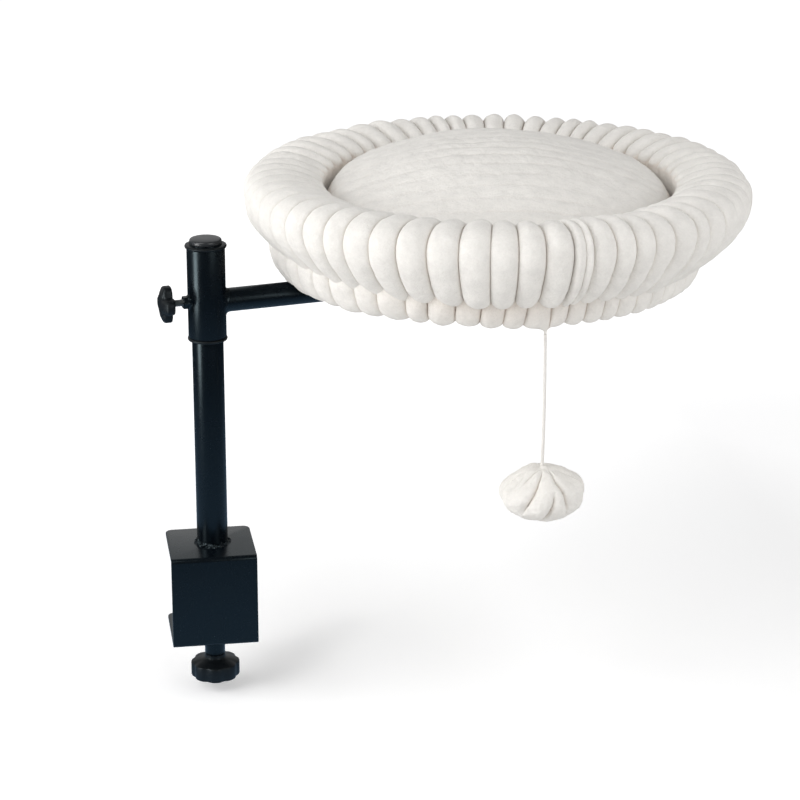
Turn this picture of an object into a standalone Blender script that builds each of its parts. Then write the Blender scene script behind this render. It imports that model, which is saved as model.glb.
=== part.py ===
"""Cat perch: a round plush bed on a swivelling side arm, on a post with a screw clamp for a table edge.

Metres, +Z up. The origin is the middle of the face that rests on the table top, under the post.
The table edge enters the clamp from +Y, and X runs along the edge of the table.
"""

import math

import bmesh
import bpy
from mathutils import Matrix

# Clearances
FIT_GAP = 0.0003
MERGE_DISTANCE = 0.00001
CUT_OVERRUN = 0.002
PARK_GAP = 0.0005

# Directions of round pieces that lie along the arm
ON_AXIS = (0, 0, 0)
FACING_OUT = (0, math.radians(90), 0)
FACING_BACK = (0, math.radians(-90), 0)

# Facets
TUBE_SIDES = 40
SMALL_SIDES = 24
DISC_SIDES = 96
BEND_STEPS = 4

# Clamp bracket, one plate bent into a C
PLATE = 0.003
CLAMP_WIDTH = 0.0732
CLAMP_DEPTH = 0.070
CLAMP_HEIGHT = 0.0818
BEND_RADIUS = 0.0038
PLATE_CORNER = 0.006
POST_SETBACK = 0.037
CLAMP_OFFSET = 0.0018
JAW_LINER = 0.002
JAW_LINER_MARGIN = 0.005

# Clamp screw, its threaded boss, its pressure pad and its hand knob
JAW_GAP = 0.020
PAD_RADIUS = 0.019
PAD_RUBBER = 0.003
PRESSURE_DISC = 0.003
HUB_RADIUS = 0.009
HUB_LENGTH = 0.006
CLAMP_SCREW_RADIUS = 0.005
SCREW_CHAMFER = 0.0008
BOSS_RADIUS = 0.00875
BOSS_LENGTH = 0.022
BOSS_WELD = 0.002
KNOB_COLLAR_LENGTH = 0.007
HAND_KNOB_RADIUS = 0.0211
HAND_KNOB_HEIGHT = 0.0135
HAND_KNOB_EDGE = 0.0012
HAND_KNOB_FLUTE = 0.0014
HAND_KNOB_SHOULDER = 0.0035
HAND_KNOB_LOBES = 8
HAND_KNOB_SIDES = 64
HAND_KNOB_BORE = 0.009

# Post
POST_RADIUS = 0.0132
POST_WALL = 0.0015
POST_LENGTH = 0.2662
POST_WELD_WIDTH = 0.0018
POST_WELD_HEIGHT = 0.0035
CAP_RADIUS = 0.0134
CAP_LIP = 0.0035
CAP_DOME = 0.0016
CAP_EDGE = 0.0008
CAP_PLUG = 0.012
CAP_WALL = 0.002

# Sleeve that slides and turns on the post, with a plastic bush at each end
SLEEVE_RADIUS = 0.0160
SLEEVE_WALL = 0.0012
SLEEVE_LENGTH = 0.0763
BUSH_SLIDE_GAP = 0.0002
BUSH_BARREL = 0.016
UPPER_COLLAR_RADIUS = 0.0175
UPPER_COLLAR = 0.003
LOWER_COLLAR_RADIUS = 0.0167
LOWER_COLLAR = 0.003
COLLAR_EDGE = 0.0008

# Side arm
ARM_TURN = math.radians(11.4)
ARM_RISE = 0.0292
ARM_RADIUS = 0.010
ARM_WALL = 0.0015
ARM_WELD_WIDTH = 0.0025
ARM_WELD_LENGTH = 0.004
ARM_CAP_HEAD = 0.003
BED_POST_GAP = 0.0362

# Locking screw opposite the arm, its welded nut and its knob
LOCK_RISE = 0.0307
LOCK_SCREW_RADIUS = 0.003
LOCK_NUT_FLATS = 0.010
LOCK_NUT_REACH = 0.0048
LOCK_NUT_WELD = 0.0009
LOCK_STANDOFF = 0.0073
LOCK_KNOB_RADIUS = 0.0157
LOCK_KNOB_WAIST = 0.0105
LOCK_KNOB_LOBES = 4
LOCK_KNOB_SIDES = 48
LOCK_HUB_RADIUS = 0.0042
LOCK_HUB_LENGTH = 0.0028
LOCK_LOBE_LENGTH = 0.0072
LOCK_DOME = 0.0027
LOCK_KNOB_EDGE = 0.0010
LOCK_KNOB_BORE = 0.009

# Support plate, screws and board under the bed
SUPPORT_LENGTH = 0.150
SUPPORT_WIDTH = 0.090
SUPPORT_PLATE = 0.003
SUPPORT_CORNER = 0.008
SADDLE_INSET = 0.020
SADDLE_WIDTH = 0.016
SADDLE_DEPTH = 0.004
SCREW_INSET_LONG = 0.015
SCREW_INSET_WIDE = 0.013
BOARD_SCREW_RADIUS = 0.002
SCREW_HEAD_RADIUS = 0.004
SCREW_HEAD = 0.0022
SCREW_COVER = 0.002
LINING = 0.001
BOARD = 0.009
SEAT_RADIUS = 0.152

# Bolster, the fat ribbed ring round the bed
RIBS = 60
BOLSTER_OFFSET = 0.0167
BOLSTER_RISE = 0.0317
BOLSTER_HALF_WIDTH = 0.0442
BOLSTER_HALF_HEIGHT = 0.0395
BOLSTER_LEAN_SHARE = 0.52
BOLSTER_FOOT_ANGLE = math.radians(-58)
BOLSTER_LIP_ANGLE = math.radians(138)
BOLSTER_STEPS = 7
BOLSTER_GROOVE = 0.0055

# Rim, the smaller ribbed tier round the board
RIM_OFFSET = 0.0185
RIM_HALF_WIDTH = 0.0171
RIM_HALF_HEIGHT = 0.0250
RIM_RISE = 0.0022
RIM_FIRST_ANGLE = math.radians(-150)
RIM_LAST_ANGLE = math.radians(-5)
RIM_STEPS = 5
RIM_TOP_SET_IN = 0.0026
RIM_GROOVE = 0.0032

# Seat cushion
CUSHION_CROWN = 0.018
CUSHION_DRAW_IN = 0.003
CUSHION_PITCH = 0.025
CUSHION_CHANNEL = 0.0022
CUSHION_TURN = math.radians(-20.6)
CUSHION_ROWS_PER_CHANNEL = 4
CUSHION_COLUMNS = 10
CUSHION_END_SHARES = (0.982, 0.998)
CUSHION_BASE_COLUMNS = 3

# Hanging toy
TOY_AZIMUTH = math.radians(-99.7)
KNOT_RADIUS = 0.002
CORD_RADIUS = 0.0014
CORD_FREE_LENGTH = 0.1125
CORD_STEPS = 17
POMPOM_RADIUS = 0.0345
POMPOM_TOP = 0.0212
POMPOM_BOTTOM = 0.0237
POMPOM_RIBS = 9
POMPOM_RIB_POINTS = 4
POMPOM_GROOVE = 0.004
POMPOM_CURL = math.radians(60)
POMPOM_REACH_SHARES = (0.16, 0.34, 0.56, 0.77, 0.92, 0.99, 1, 0.96, 0.87, 0.74, 0.57, 0.37, 0.18)
POMPOM_HEIGHT_SHARES = (1, 0.95, 0.80, 0.58, 0.34, 0.14, 0, -0.24, -0.48, -0.69, -0.86, -0.97, -1)

# Heights and radii worked out from the sizes above
PLATE_UNDERSIDE = JAW_LINER + FIT_GAP
PLATE_TOP = PLATE_UNDERSIDE + PLATE
CLAMP_BOTTOM = PLATE_TOP - CLAMP_HEIGHT
LOWER_PLATE_TOP = CLAMP_BOTTOM + PLATE
CLAMP_FRONT = -POST_SETBACK
CLAMP_BACK = CLAMP_DEPTH - POST_SETBACK
SCREW_HOLE_RADIUS = CLAMP_SCREW_RADIUS + FIT_GAP
DISC_TOP = -JAW_GAP - PAD_RUBBER - FIT_GAP
DISC_UNDERSIDE = DISC_TOP - PRESSURE_DISC
BOSS_TOP = CLAMP_BOTTOM - FIT_GAP
BOSS_BOTTOM = BOSS_TOP - BOSS_LENGTH
COLLAR_TOP = BOSS_BOTTOM - PARK_GAP
KNOB_TOP = COLLAR_TOP - KNOB_COLLAR_LENGTH
POST_FOOT = PLATE_TOP + FIT_GAP
POST_TOP = POST_FOOT + POST_LENGTH
SLEEVE_TOP = POST_TOP - PARK_GAP - UPPER_COLLAR
SLEEVE_FOOT = SLEEVE_TOP - SLEEVE_LENGTH
SLEEVE_BORE = SLEEVE_RADIUS - SLEEVE_WALL
ARM_HEIGHT = SLEEVE_FOOT + ARM_RISE
SUPPORT_UNDERSIDE = ARM_RADIUS + FIT_GAP
SADDLE_LENGTH = SUPPORT_LENGTH - 2 * SADDLE_INSET
SCREW_SPACING_LONG = SUPPORT_LENGTH - 2 * SCREW_INSET_LONG
SCREW_SPACING_WIDE = SUPPORT_WIDTH - 2 * SCREW_INSET_WIDE
SUPPORT_TOP = SUPPORT_UNDERSIDE + SUPPORT_PLATE
LINING_UNDERSIDE = SUPPORT_TOP + FIT_GAP
BOARD_UNDERSIDE = LINING_UNDERSIDE + LINING + FIT_GAP
BOARD_TOP = BOARD_UNDERSIDE + BOARD
WALL_RADIUS = (SEAT_RADIUS + FIT_GAP) / math.cos(math.pi / (2 * RIBS))
BOLSTER_RING_RADIUS = SEAT_RADIUS + BOLSTER_OFFSET
BED_REACH = BOLSTER_RING_RADIUS + BOLSTER_HALF_WIDTH + BED_POST_GAP + CAP_RADIUS
ARM_END = BED_REACH + SUPPORT_LENGTH / 2
BOLSTER_HEIGHT = BOARD_TOP + BOLSTER_RISE
RIM_RING_RADIUS = SEAT_RADIUS + RIM_OFFSET
RIM_HEIGHT = BOARD_TOP + RIM_RISE
RIM_BOTTOM = RIM_HEIGHT - RIM_HALF_HEIGHT
KNOT_HEIGHT = RIM_BOTTOM - FIT_GAP - KNOT_RADIUS
CORD_TOP = KNOT_HEIGHT - KNOT_RADIUS - FIT_GAP
CORD_BOTTOM = CORD_TOP - CORD_FREE_LENGTH
POMPOM_HEIGHT = CORD_BOTTOM - FIT_GAP - POMPOM_TOP


def clear_scene():
    for item in list(bpy.data.objects):
        bpy.data.objects.remove(item)


def material(name, colour, roughness, metallic):
    found = bpy.data.materials.get(name)
    if found:
        return found
    made = bpy.data.materials.new(name)
    made.use_nodes = True
    shader = made.node_tree.nodes["Principled BSDF"]
    shader.inputs["Base Color"].default_value = (*colour, 1)
    shader.inputs["Roughness"].default_value = roughness
    shader.inputs["Metallic"].default_value = metallic
    return made


def black_steel():
    return material("black_powder_coat", (0.012, 0.014, 0.016), 0.42, 0.3)


def black_plastic():
    return material("black_plastic", (0.015, 0.016, 0.017), 0.5, 0.0)


def black_rubber():
    return material("black_rubber", (0.02, 0.02, 0.02), 0.85, 0.0)


def plywood():
    return material("plywood", (0.62, 0.45, 0.27), 0.6, 0.0)


def lining_cloth():
    return material("lining_cloth", (0.70, 0.68, 0.64), 0.9, 0.0)


def plush():
    return material("off_white_plush", (0.83, 0.80, 0.76), 0.95, 0.0)


def zinc_steel():
    return material("zinc_steel", (0.55, 0.56, 0.58), 0.35, 1.0)


def empty_frame(name, location, turn=0):
    frame = bpy.data.objects.new(name, None)
    bpy.context.scene.collection.objects.link(frame)
    frame.location = location
    frame.rotation_euler = (0, 0, turn)
    return frame


def solid(name, bm, look, parent=None, location=(0, 0, 0), rotation=(0, 0, 0)):
    """Makes an object of a bmesh, with its faces pointing out and its round sides smooth."""
    bmesh.ops.remove_doubles(bm, verts=bm.verts, dist=MERGE_DISTANCE)
    bmesh.ops.recalc_face_normals(bm, faces=bm.faces)
    mesh = bpy.data.meshes.new(name)
    bm.to_mesh(mesh)
    bm.free()
    mesh.shade_smooth()
    mesh.set_sharp_from_angle(angle=math.radians(35))
    made = bpy.data.objects.new(name, mesh)
    bpy.context.scene.collection.objects.link(made)
    mesh.materials.append(look)
    made.parent = parent
    made.location = location
    made.rotation_euler = rotation
    return made


def turned(profile, sides):
    """Spins a profile of (radius, height) points about Z. One that starts on the axis also ends on it."""
    bm = bmesh.new()
    line = [bm.verts.new((radius, 0, height)) for radius, height in profile]
    edges = [bm.edges.new(pair) for pair in zip(line, line[1:])]
    if profile[0][0] > 0:
        edges.append(bm.edges.new((line[-1], line[0])))
    bmesh.ops.spin(
        bm,
        geom=line + edges,
        cent=(0, 0, 0),
        axis=(0, 0, 1),
        angle=math.tau,
        steps=sides,
        use_merge=True,
    )
    return bm


def tube_profile(outer, inner, low, high):
    return [(inner, low), (outer, low), (outer, high), (inner, high)]


def rod_profile(radius, low, high, chamfer=0):
    if not chamfer:
        return [(0, low), (radius, low), (radius, high), (0, high)]
    return [
        (0, low),
        (radius - chamfer, low),
        (radius, low + chamfer),
        (radius, high - chamfer),
        (radius - chamfer, high),
        (0, high),
    ]


def lofted(loops, closed_path=False):
    """Bridges equal loops of points in order, closed into a ring or capped at both ends."""
    bm = bmesh.new()
    rows = [[bm.verts.new(point) for point in loop] for loop in loops]
    pairs = list(zip(rows, rows[1:]))
    if closed_path:
        pairs.append((rows[-1], rows[0]))
    count = len(rows[0])
    for one, two in pairs:
        for i in range(count):
            j = (i + 1) % count
            bm.faces.new((one[i], one[j], two[j], two[i]))
    if not closed_path:
        bm.faces.new(rows[0])
        bm.faces.new(rows[-1])
    return bm


def box_mesh(size_x, size_y, low, high, corner=0):
    """A plate in X and Y from one height to another, with round upright corners."""
    bm = bmesh.new()
    bmesh.ops.create_cube(bm, size=1)
    bmesh.ops.scale(bm, vec=(size_x, size_y, high - low), verts=bm.verts)
    bmesh.ops.translate(bm, vec=(0, 0, (high + low) / 2), verts=bm.verts)
    if corner:
        upright = [edge for edge in bm.edges if is_upright(edge)]
        bmesh.ops.bevel(bm, geom=upright, offset=corner, segments=BEND_STEPS, affect="EDGES", profile=0.5)
    return bm


def is_upright(edge):
    one, two = edge.verts
    return (one.co - two.co).xy.length < MERGE_DISTANCE


def cutter(name, bm, parent=None, location=(0, 0, 0), rotation=(0, 0, 0)):
    """A helper that takes material away. It isn't rendered and isn't a piece."""
    made = solid(name, bm, black_steel(), parent, location, rotation)
    made.hide_render = True
    made.display_type = "WIRE"
    return made


def combine(target, helper, operation):
    step = target.modifiers.new(helper.name, "BOOLEAN")
    step.object = helper
    step.operation = operation
    step.solver = "EXACT"


def cut(target, *helpers):
    for helper in helpers:
        combine(target, helper, "DIFFERENCE")


# The table clamp


def bent_outline():
    """The C of the bracket in the Y and Z plane: the outer side, then back along the inner side."""
    outer = [(CLAMP_BACK, PLATE_TOP)]
    outer += bend(CLAMP_FRONT + BEND_RADIUS, PLATE_TOP - BEND_RADIUS, BEND_RADIUS, 90)
    outer += bend(CLAMP_FRONT + BEND_RADIUS, CLAMP_BOTTOM + BEND_RADIUS, BEND_RADIUS, 180)
    outer.append((CLAMP_BACK, CLAMP_BOTTOM))
    inner_radius = BEND_RADIUS - PLATE
    inner = [(CLAMP_BACK, PLATE_UNDERSIDE)]
    inner += bend(CLAMP_FRONT + BEND_RADIUS, PLATE_TOP - BEND_RADIUS, inner_radius, 90)
    inner += bend(CLAMP_FRONT + BEND_RADIUS, CLAMP_BOTTOM + BEND_RADIUS, inner_radius, 180)
    inner.append((CLAMP_BACK, LOWER_PLATE_TOP))
    return outer + inner[::-1]


def bend(centre_y, centre_z, radius, start):
    """Points of a quarter turn that begins at an angle in degrees, counted from +Y towards +Z."""
    angles = [math.radians(start + 90 * i / BEND_STEPS) for i in range(BEND_STEPS + 1)]
    return [(centre_y + radius * math.cos(a), centre_z + radius * math.sin(a)) for a in angles]


def clamp_bracket():
    bm = bmesh.new()
    half = CLAMP_WIDTH / 2
    outline = [bm.verts.new((-half - CLAMP_OFFSET, y, z)) for y, z in bent_outline()]
    face = bm.faces.new(outline)
    grown = bmesh.ops.extrude_face_region(bm, geom=[face])
    moved = [item for item in grown["geom"] if isinstance(item, bmesh.types.BMVert)]
    bmesh.ops.translate(bm, vec=(CLAMP_WIDTH, 0, 0), verts=moved)
    upright = [edge for edge in bm.edges if is_upright(edge)]
    free = [edge for edge in upright if edge.verts[0].co.y > CLAMP_BACK - MERGE_DISTANCE]
    bmesh.ops.bevel(bm, geom=free, offset=PLATE_CORNER, segments=BEND_STEPS, affect="EDGES", profile=0.5)
    bracket = solid("clamp_bracket", bm, black_steel())
    hole = rod_profile(SCREW_HOLE_RADIUS, CLAMP_BOTTOM - CUT_OVERRUN, LOWER_PLATE_TOP + CUT_OVERRUN)
    cut(bracket, cutter("screw_hole_cutter", turned(hole, SMALL_SIDES)))


def jaw_liner():
    width = CLAMP_WIDTH - 2 * JAW_LINER_MARGIN
    front = CLAMP_FRONT + BEND_RADIUS
    depth = CLAMP_BACK - JAW_LINER_MARGIN - front
    bm = box_mesh(width, depth, 0, JAW_LINER, PLATE_CORNER / 2)
    solid("jaw_liner", bm, black_rubber(), None, (-CLAMP_OFFSET, front + depth / 2, 0))


def threaded_boss():
    profile = [
        (SCREW_HOLE_RADIUS, BOSS_BOTTOM),
        (BOSS_RADIUS, BOSS_BOTTOM),
        (BOSS_RADIUS, BOSS_TOP - BOSS_WELD),
        (BOSS_RADIUS + BOSS_WELD, BOSS_TOP),
        (SCREW_HOLE_RADIUS, BOSS_TOP),
    ]
    solid("threaded_boss", turned(profile, TUBE_SIDES), black_steel())


def pressure_pad():
    solid(
        "pressure_pad_rubber",
        turned(rod_profile(PAD_RADIUS, DISC_TOP + FIT_GAP, -JAW_GAP), TUBE_SIDES),
        black_rubber(),
    )
    hub_bottom = DISC_UNDERSIDE - HUB_LENGTH
    profile = [
        (0, DISC_UNDERSIDE),
        (SCREW_HOLE_RADIUS, DISC_UNDERSIDE),
        (SCREW_HOLE_RADIUS, hub_bottom),
        (HUB_RADIUS, hub_bottom),
        (HUB_RADIUS, DISC_UNDERSIDE),
        (PAD_RADIUS, DISC_UNDERSIDE),
        (PAD_RADIUS, DISC_TOP),
        (0, DISC_TOP),
    ]
    solid("pressure_disc", turned(profile, TUBE_SIDES), black_steel())


def clamp_screw():
    low = KNOB_TOP - HAND_KNOB_BORE + KNOB_COLLAR_LENGTH + FIT_GAP
    high = DISC_UNDERSIDE - FIT_GAP
    bm = turned(rod_profile(CLAMP_SCREW_RADIUS, low, high, SCREW_CHAMFER), SMALL_SIDES)
    solid("clamp_screw", bm, zinc_steel())


def fluted_ring(radius, flute, lobes, sides, height):
    """A circle with broad lobes, whose radius dips by the flute between them."""
    loop = []
    for i in range(sides):
        angle = math.tau * i / sides
        dip = flute * ((1 - math.cos(lobes * angle)) / 2) ** 2
        reach = radius - dip
        loop.append((reach * math.cos(angle), reach * math.sin(angle), height))
    return loop


def hand_knob():
    sides = HAND_KNOB_SIDES
    knob_bottom = KNOB_TOP - HAND_KNOB_HEIGHT
    inner = HAND_KNOB_RADIUS - HAND_KNOB_EDGE
    loops = [
        fluted_ring(BOSS_RADIUS, 0, HAND_KNOB_LOBES, sides, COLLAR_TOP),
        fluted_ring(BOSS_RADIUS, 0, HAND_KNOB_LOBES, sides, KNOB_TOP + HAND_KNOB_SHOULDER),
        fluted_ring(inner, HAND_KNOB_FLUTE, HAND_KNOB_LOBES, sides, KNOB_TOP),
        fluted_ring(HAND_KNOB_RADIUS, HAND_KNOB_FLUTE, HAND_KNOB_LOBES, sides, KNOB_TOP - HAND_KNOB_EDGE),
        fluted_ring(HAND_KNOB_RADIUS, HAND_KNOB_FLUTE, HAND_KNOB_LOBES, sides, knob_bottom + HAND_KNOB_EDGE),
        fluted_ring(inner, HAND_KNOB_FLUTE, HAND_KNOB_LOBES, sides, knob_bottom),
    ]
    knob = solid("hand_knob", lofted(loops), black_plastic())
    bore = rod_profile(SCREW_HOLE_RADIUS, COLLAR_TOP - HAND_KNOB_BORE, COLLAR_TOP + CUT_OVERRUN)
    cut(knob, cutter("hand_knob_bore_cutter", turned(bore, SMALL_SIDES)))


# The post


def post_tube():
    bore = POST_RADIUS - POST_WALL
    profile = [
        (bore, POST_FOOT),
        (POST_RADIUS + POST_WELD_WIDTH, POST_FOOT),
        (POST_RADIUS + POST_WELD_WIDTH, POST_FOOT + POST_WELD_HEIGHT / 3),
        (POST_RADIUS + POST_WELD_WIDTH / 3, POST_FOOT + POST_WELD_HEIGHT),
        (POST_RADIUS, POST_FOOT + POST_WELD_HEIGHT),
        (POST_RADIUS, POST_TOP),
        (bore, POST_TOP),
    ]
    solid("post_tube", turned(profile, TUBE_SIDES), black_steel())


def post_cap():
    lip_bottom = POST_TOP + FIT_GAP
    lip_top = lip_bottom + CAP_LIP
    plug = POST_RADIUS - POST_WALL - FIT_GAP
    profile = [
        (0, lip_bottom),
        (plug - CAP_WALL, lip_bottom),
        (plug - CAP_WALL, lip_bottom - CAP_PLUG),
        (plug, lip_bottom - CAP_PLUG),
        (plug, lip_bottom),
        (CAP_RADIUS, lip_bottom),
        (CAP_RADIUS, lip_top - CAP_EDGE),
        (CAP_RADIUS - CAP_EDGE, lip_top),
        (CAP_RADIUS / 2, lip_top + CAP_DOME * 3 / 4),
        (0, lip_top + CAP_DOME),
    ]
    solid("post_cap", turned(profile, TUBE_SIDES), black_plastic())


# The bushes and the sleeve


def bush(name, collar_radius, seat, collar, barrel):
    """A flanged bush. Its collar grows from the seat, and its barrel goes the other way, into the sleeve."""
    bore = POST_RADIUS + BUSH_SLIDE_GAP
    outer = SLEEVE_BORE - FIT_GAP
    edge = math.copysign(COLLAR_EDGE, collar)
    profile = [
        (bore, seat + barrel),
        (outer, seat + barrel),
        (outer, seat),
        (collar_radius - COLLAR_EDGE, seat),
        (collar_radius, seat + edge),
        (collar_radius, seat + collar - edge),
        (collar_radius - COLLAR_EDGE, seat + collar),
        (bore, seat + collar),
    ]
    solid(name, turned(profile, TUBE_SIDES), black_plastic())


def sleeve(arm_frame, lock_frame):
    low = SLEEVE_FOOT - ARM_HEIGHT
    high = low + SLEEVE_LENGTH
    profile = tube_profile(SLEEVE_RADIUS, SLEEVE_BORE, low, high)
    tube = solid("sleeve", turned(profile, TUBE_SIDES), black_steel(), arm_frame)
    hole = turned(rod_profile(LOCK_SCREW_RADIUS + FIT_GAP, 0, SLEEVE_RADIUS + CUT_OVERRUN), SMALL_SIDES)
    cut(tube, cutter("lock_hole_cutter", hole, lock_frame, ON_AXIS, FACING_BACK))


# The arm, in its own frame: X runs from the post's axis to the middle of the bed


def sleeve_shape(name, arm_frame):
    """The space that the sleeve and its clearance take, which trims what is welded to it."""
    reach = SLEEVE_LENGTH / 2
    return cutter(name, turned(rod_profile(SLEEVE_RADIUS + FIT_GAP, -reach, reach), TUBE_SIDES), arm_frame)


def arm_tube(arm_frame):
    bore = ARM_RADIUS - ARM_WALL
    weld_end = SLEEVE_RADIUS + ARM_WELD_LENGTH
    profile = [
        (bore, SLEEVE_RADIUS / 2),
        (ARM_RADIUS + ARM_WELD_WIDTH, SLEEVE_RADIUS / 2),
        (ARM_RADIUS + ARM_WELD_WIDTH, weld_end - ARM_WELD_LENGTH * 2 / 3),
        (ARM_RADIUS, weld_end),
        (ARM_RADIUS, ARM_END),
        (bore, ARM_END),
    ]
    tube = solid("arm_tube", turned(profile, TUBE_SIDES), black_steel(), arm_frame, ON_AXIS, FACING_OUT)
    cut(tube, sleeve_shape("arm_saddle_cutter", arm_frame))


def arm_end_cap(arm_frame):
    plug = ARM_RADIUS - ARM_WALL - FIT_GAP
    face = ARM_END + FIT_GAP
    profile = [
        (0, face),
        (plug - CAP_WALL, face),
        (plug - CAP_WALL, face - CAP_PLUG),
        (plug, face - CAP_PLUG),
        (plug, face),
        (ARM_RADIUS, face),
        (ARM_RADIUS, face + ARM_CAP_HEAD - CAP_EDGE),
        (ARM_RADIUS - CAP_EDGE, face + ARM_CAP_HEAD),
        (0, face + ARM_CAP_HEAD),
    ]
    solid("arm_end_cap", turned(profile, TUBE_SIDES), black_plastic(), arm_frame, ON_AXIS, FACING_OUT)


def lock_nut(lock_frame):
    """A hexagon nut with its weld, bored for the screw and trimmed to the sleeve's curve."""
    face = SLEEVE_RADIUS + LOCK_NUT_REACH
    corner = LOCK_NUT_FLATS / 2 / math.cos(math.pi / 6)
    hexagon = turned(rod_profile(corner, SLEEVE_RADIUS / 2, face), 6)
    nut = solid("lock_nut", hexagon, black_steel(), lock_frame, ON_AXIS, FACING_BACK)
    bead = [
        (0, SLEEVE_RADIUS / 2),
        (corner + LOCK_NUT_WELD, SLEEVE_RADIUS / 2),
        (corner + LOCK_NUT_WELD, SLEEVE_RADIUS),
        (corner - LOCK_NUT_WELD / 2, SLEEVE_RADIUS + LOCK_NUT_WELD),
        (0, SLEEVE_RADIUS + LOCK_NUT_WELD),
    ]
    weld = cutter("nut_weld_shape", turned(bead, SMALL_SIDES), lock_frame, ON_AXIS, FACING_BACK)
    combine(nut, weld, "UNION")
    bore = turned(rod_profile(LOCK_SCREW_RADIUS + FIT_GAP, 0, face + CUT_OVERRUN), SMALL_SIDES)
    drill_bit = cutter("nut_bore_cutter", bore, lock_frame, ON_AXIS, FACING_BACK)
    cut(nut, sleeve_shape("nut_saddle_cutter", lock_frame), drill_bit)


def lock_screw(lock_frame):
    low = POST_RADIUS + FIT_GAP
    high = SLEEVE_RADIUS + LOCK_NUT_REACH + LOCK_STANDOFF + LOCK_KNOB_BORE - FIT_GAP
    bm = turned(rod_profile(LOCK_SCREW_RADIUS, low, high, SCREW_CHAMFER), SMALL_SIDES)
    solid("lock_screw", bm, zinc_steel(), lock_frame, ON_AXIS, FACING_BACK)


def lock_knob(lock_frame):
    """A domed knob with broad lobes on a round hub. Z of its own mesh points out of the sleeve."""
    base = SLEEVE_RADIUS + LOCK_NUT_REACH + LOCK_STANDOFF
    back = base + LOCK_HUB_LENGTH
    front = back + LOCK_LOBE_LENGTH
    lobe = LOCK_KNOB_RADIUS
    flute = LOCK_KNOB_RADIUS - LOCK_KNOB_WAIST
    shoulder = (LOCK_HUB_RADIUS + LOCK_KNOB_WAIST) / 2
    rows = [
        (LOCK_HUB_RADIUS, 0, base),
        (shoulder, 0, back - LOCK_HUB_LENGTH / 4),
        (lobe - LOCK_KNOB_EDGE, flute, back),
        (lobe, flute, back + LOCK_KNOB_EDGE),
        (lobe - LOCK_KNOB_EDGE / 2, flute, front - LOCK_KNOB_EDGE),
        (lobe - 2 * LOCK_KNOB_EDGE, flute, front),
        (lobe * 2 / 3, flute / 3, front + LOCK_DOME * 2 / 3),
        (lobe / 3, 0, front + LOCK_DOME),
    ]
    loops = [fluted_ring(r, dip, LOCK_KNOB_LOBES, LOCK_KNOB_SIDES, z) for r, dip, z in rows]
    knob = solid("lock_knob", lofted(loops), black_plastic(), lock_frame, ON_AXIS, FACING_BACK)
    bore = rod_profile(LOCK_SCREW_RADIUS + FIT_GAP, base - CUT_OVERRUN, base + LOCK_KNOB_BORE)
    bit = cutter("lock_knob_bore_cutter", turned(bore, SMALL_SIDES), lock_frame, ON_AXIS, FACING_BACK)
    cut(knob, bit)


# What carries the bed, in the bed's own frame: its origin is on the arm's axis under the middle of the bed


def screw_places():
    long, wide = SCREW_SPACING_LONG / 2, SCREW_SPACING_WIDE / 2
    return [(sx * long, sy * wide) for sx in (-1, 1) for sy in (-1, 1)]


def drill(target, bed_frame, low, high):
    """The four screw holes, through the heights given."""
    bore = rod_profile(BOARD_SCREW_RADIUS + FIT_GAP, low - CUT_OVERRUN, high + CUT_OVERRUN)
    for number, (x, y) in enumerate(screw_places(), 1):
        name = f"{target.name}_hole_{number}"
        cut(target, cutter(name, turned(bore, SMALL_SIDES), bed_frame, (x, y, 0)))


def support_plate(bed_frame):
    """The steel plate on the arm, with a saddle of weld along each side of the tube."""
    bm = box_mesh(SUPPORT_LENGTH, SUPPORT_WIDTH, SUPPORT_UNDERSIDE, SUPPORT_TOP, SUPPORT_CORNER)
    plate = solid("support_plate", bm, black_steel(), bed_frame)
    seam_foot = SUPPORT_UNDERSIDE - SADDLE_DEPTH
    seam = box_mesh(SADDLE_LENGTH, SADDLE_WIDTH, seam_foot, SUPPORT_UNDERSIDE + SUPPORT_PLATE / 2)
    combine(plate, cutter("saddle_shape", seam, bed_frame), "UNION")
    reach = SADDLE_LENGTH / 2 + CUT_OVERRUN
    groove = turned(rod_profile(ARM_RADIUS + FIT_GAP, -reach, reach), TUBE_SIDES)
    cut(plate, cutter("saddle_cutter", groove, bed_frame, ON_AXIS, FACING_OUT))
    drill(plate, bed_frame, SUPPORT_UNDERSIDE, SUPPORT_TOP)


def board_and_lining(bed_frame):
    lining = rod_profile(SEAT_RADIUS, LINING_UNDERSIDE, LINING_UNDERSIDE + LINING)
    cloth = solid("underside_lining", turned(lining, DISC_SIDES), lining_cloth(), bed_frame)
    drill(cloth, bed_frame, LINING_UNDERSIDE, LINING_UNDERSIDE + LINING)
    disc = turned(rod_profile(SEAT_RADIUS, BOARD_UNDERSIDE, BOARD_TOP), DISC_SIDES)
    board = solid("bed_board", disc, plywood(), bed_frame)
    drill(board, bed_frame, BOARD_UNDERSIDE, BOARD_TOP)


def board_screws(bed_frame):
    head_top = SUPPORT_UNDERSIDE - FIT_GAP
    head_bottom = head_top - SCREW_HEAD
    profile = [
        (0, head_bottom),
        (SCREW_HEAD_RADIUS - SCREW_CHAMFER, head_bottom),
        (SCREW_HEAD_RADIUS, head_bottom + SCREW_CHAMFER),
        (SCREW_HEAD_RADIUS, head_top),
        (BOARD_SCREW_RADIUS, head_top),
        (BOARD_SCREW_RADIUS, BOARD_TOP - SCREW_COVER),
        (0, BOARD_TOP - SCREW_COVER),
    ]
    for number, (x, y) in enumerate(screw_places(), 1):
        solid(f"board_screw_{number}", turned(profile, SMALL_SIDES), zinc_steel(), bed_frame, (x, y, 0))


# The soft pieces


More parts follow.
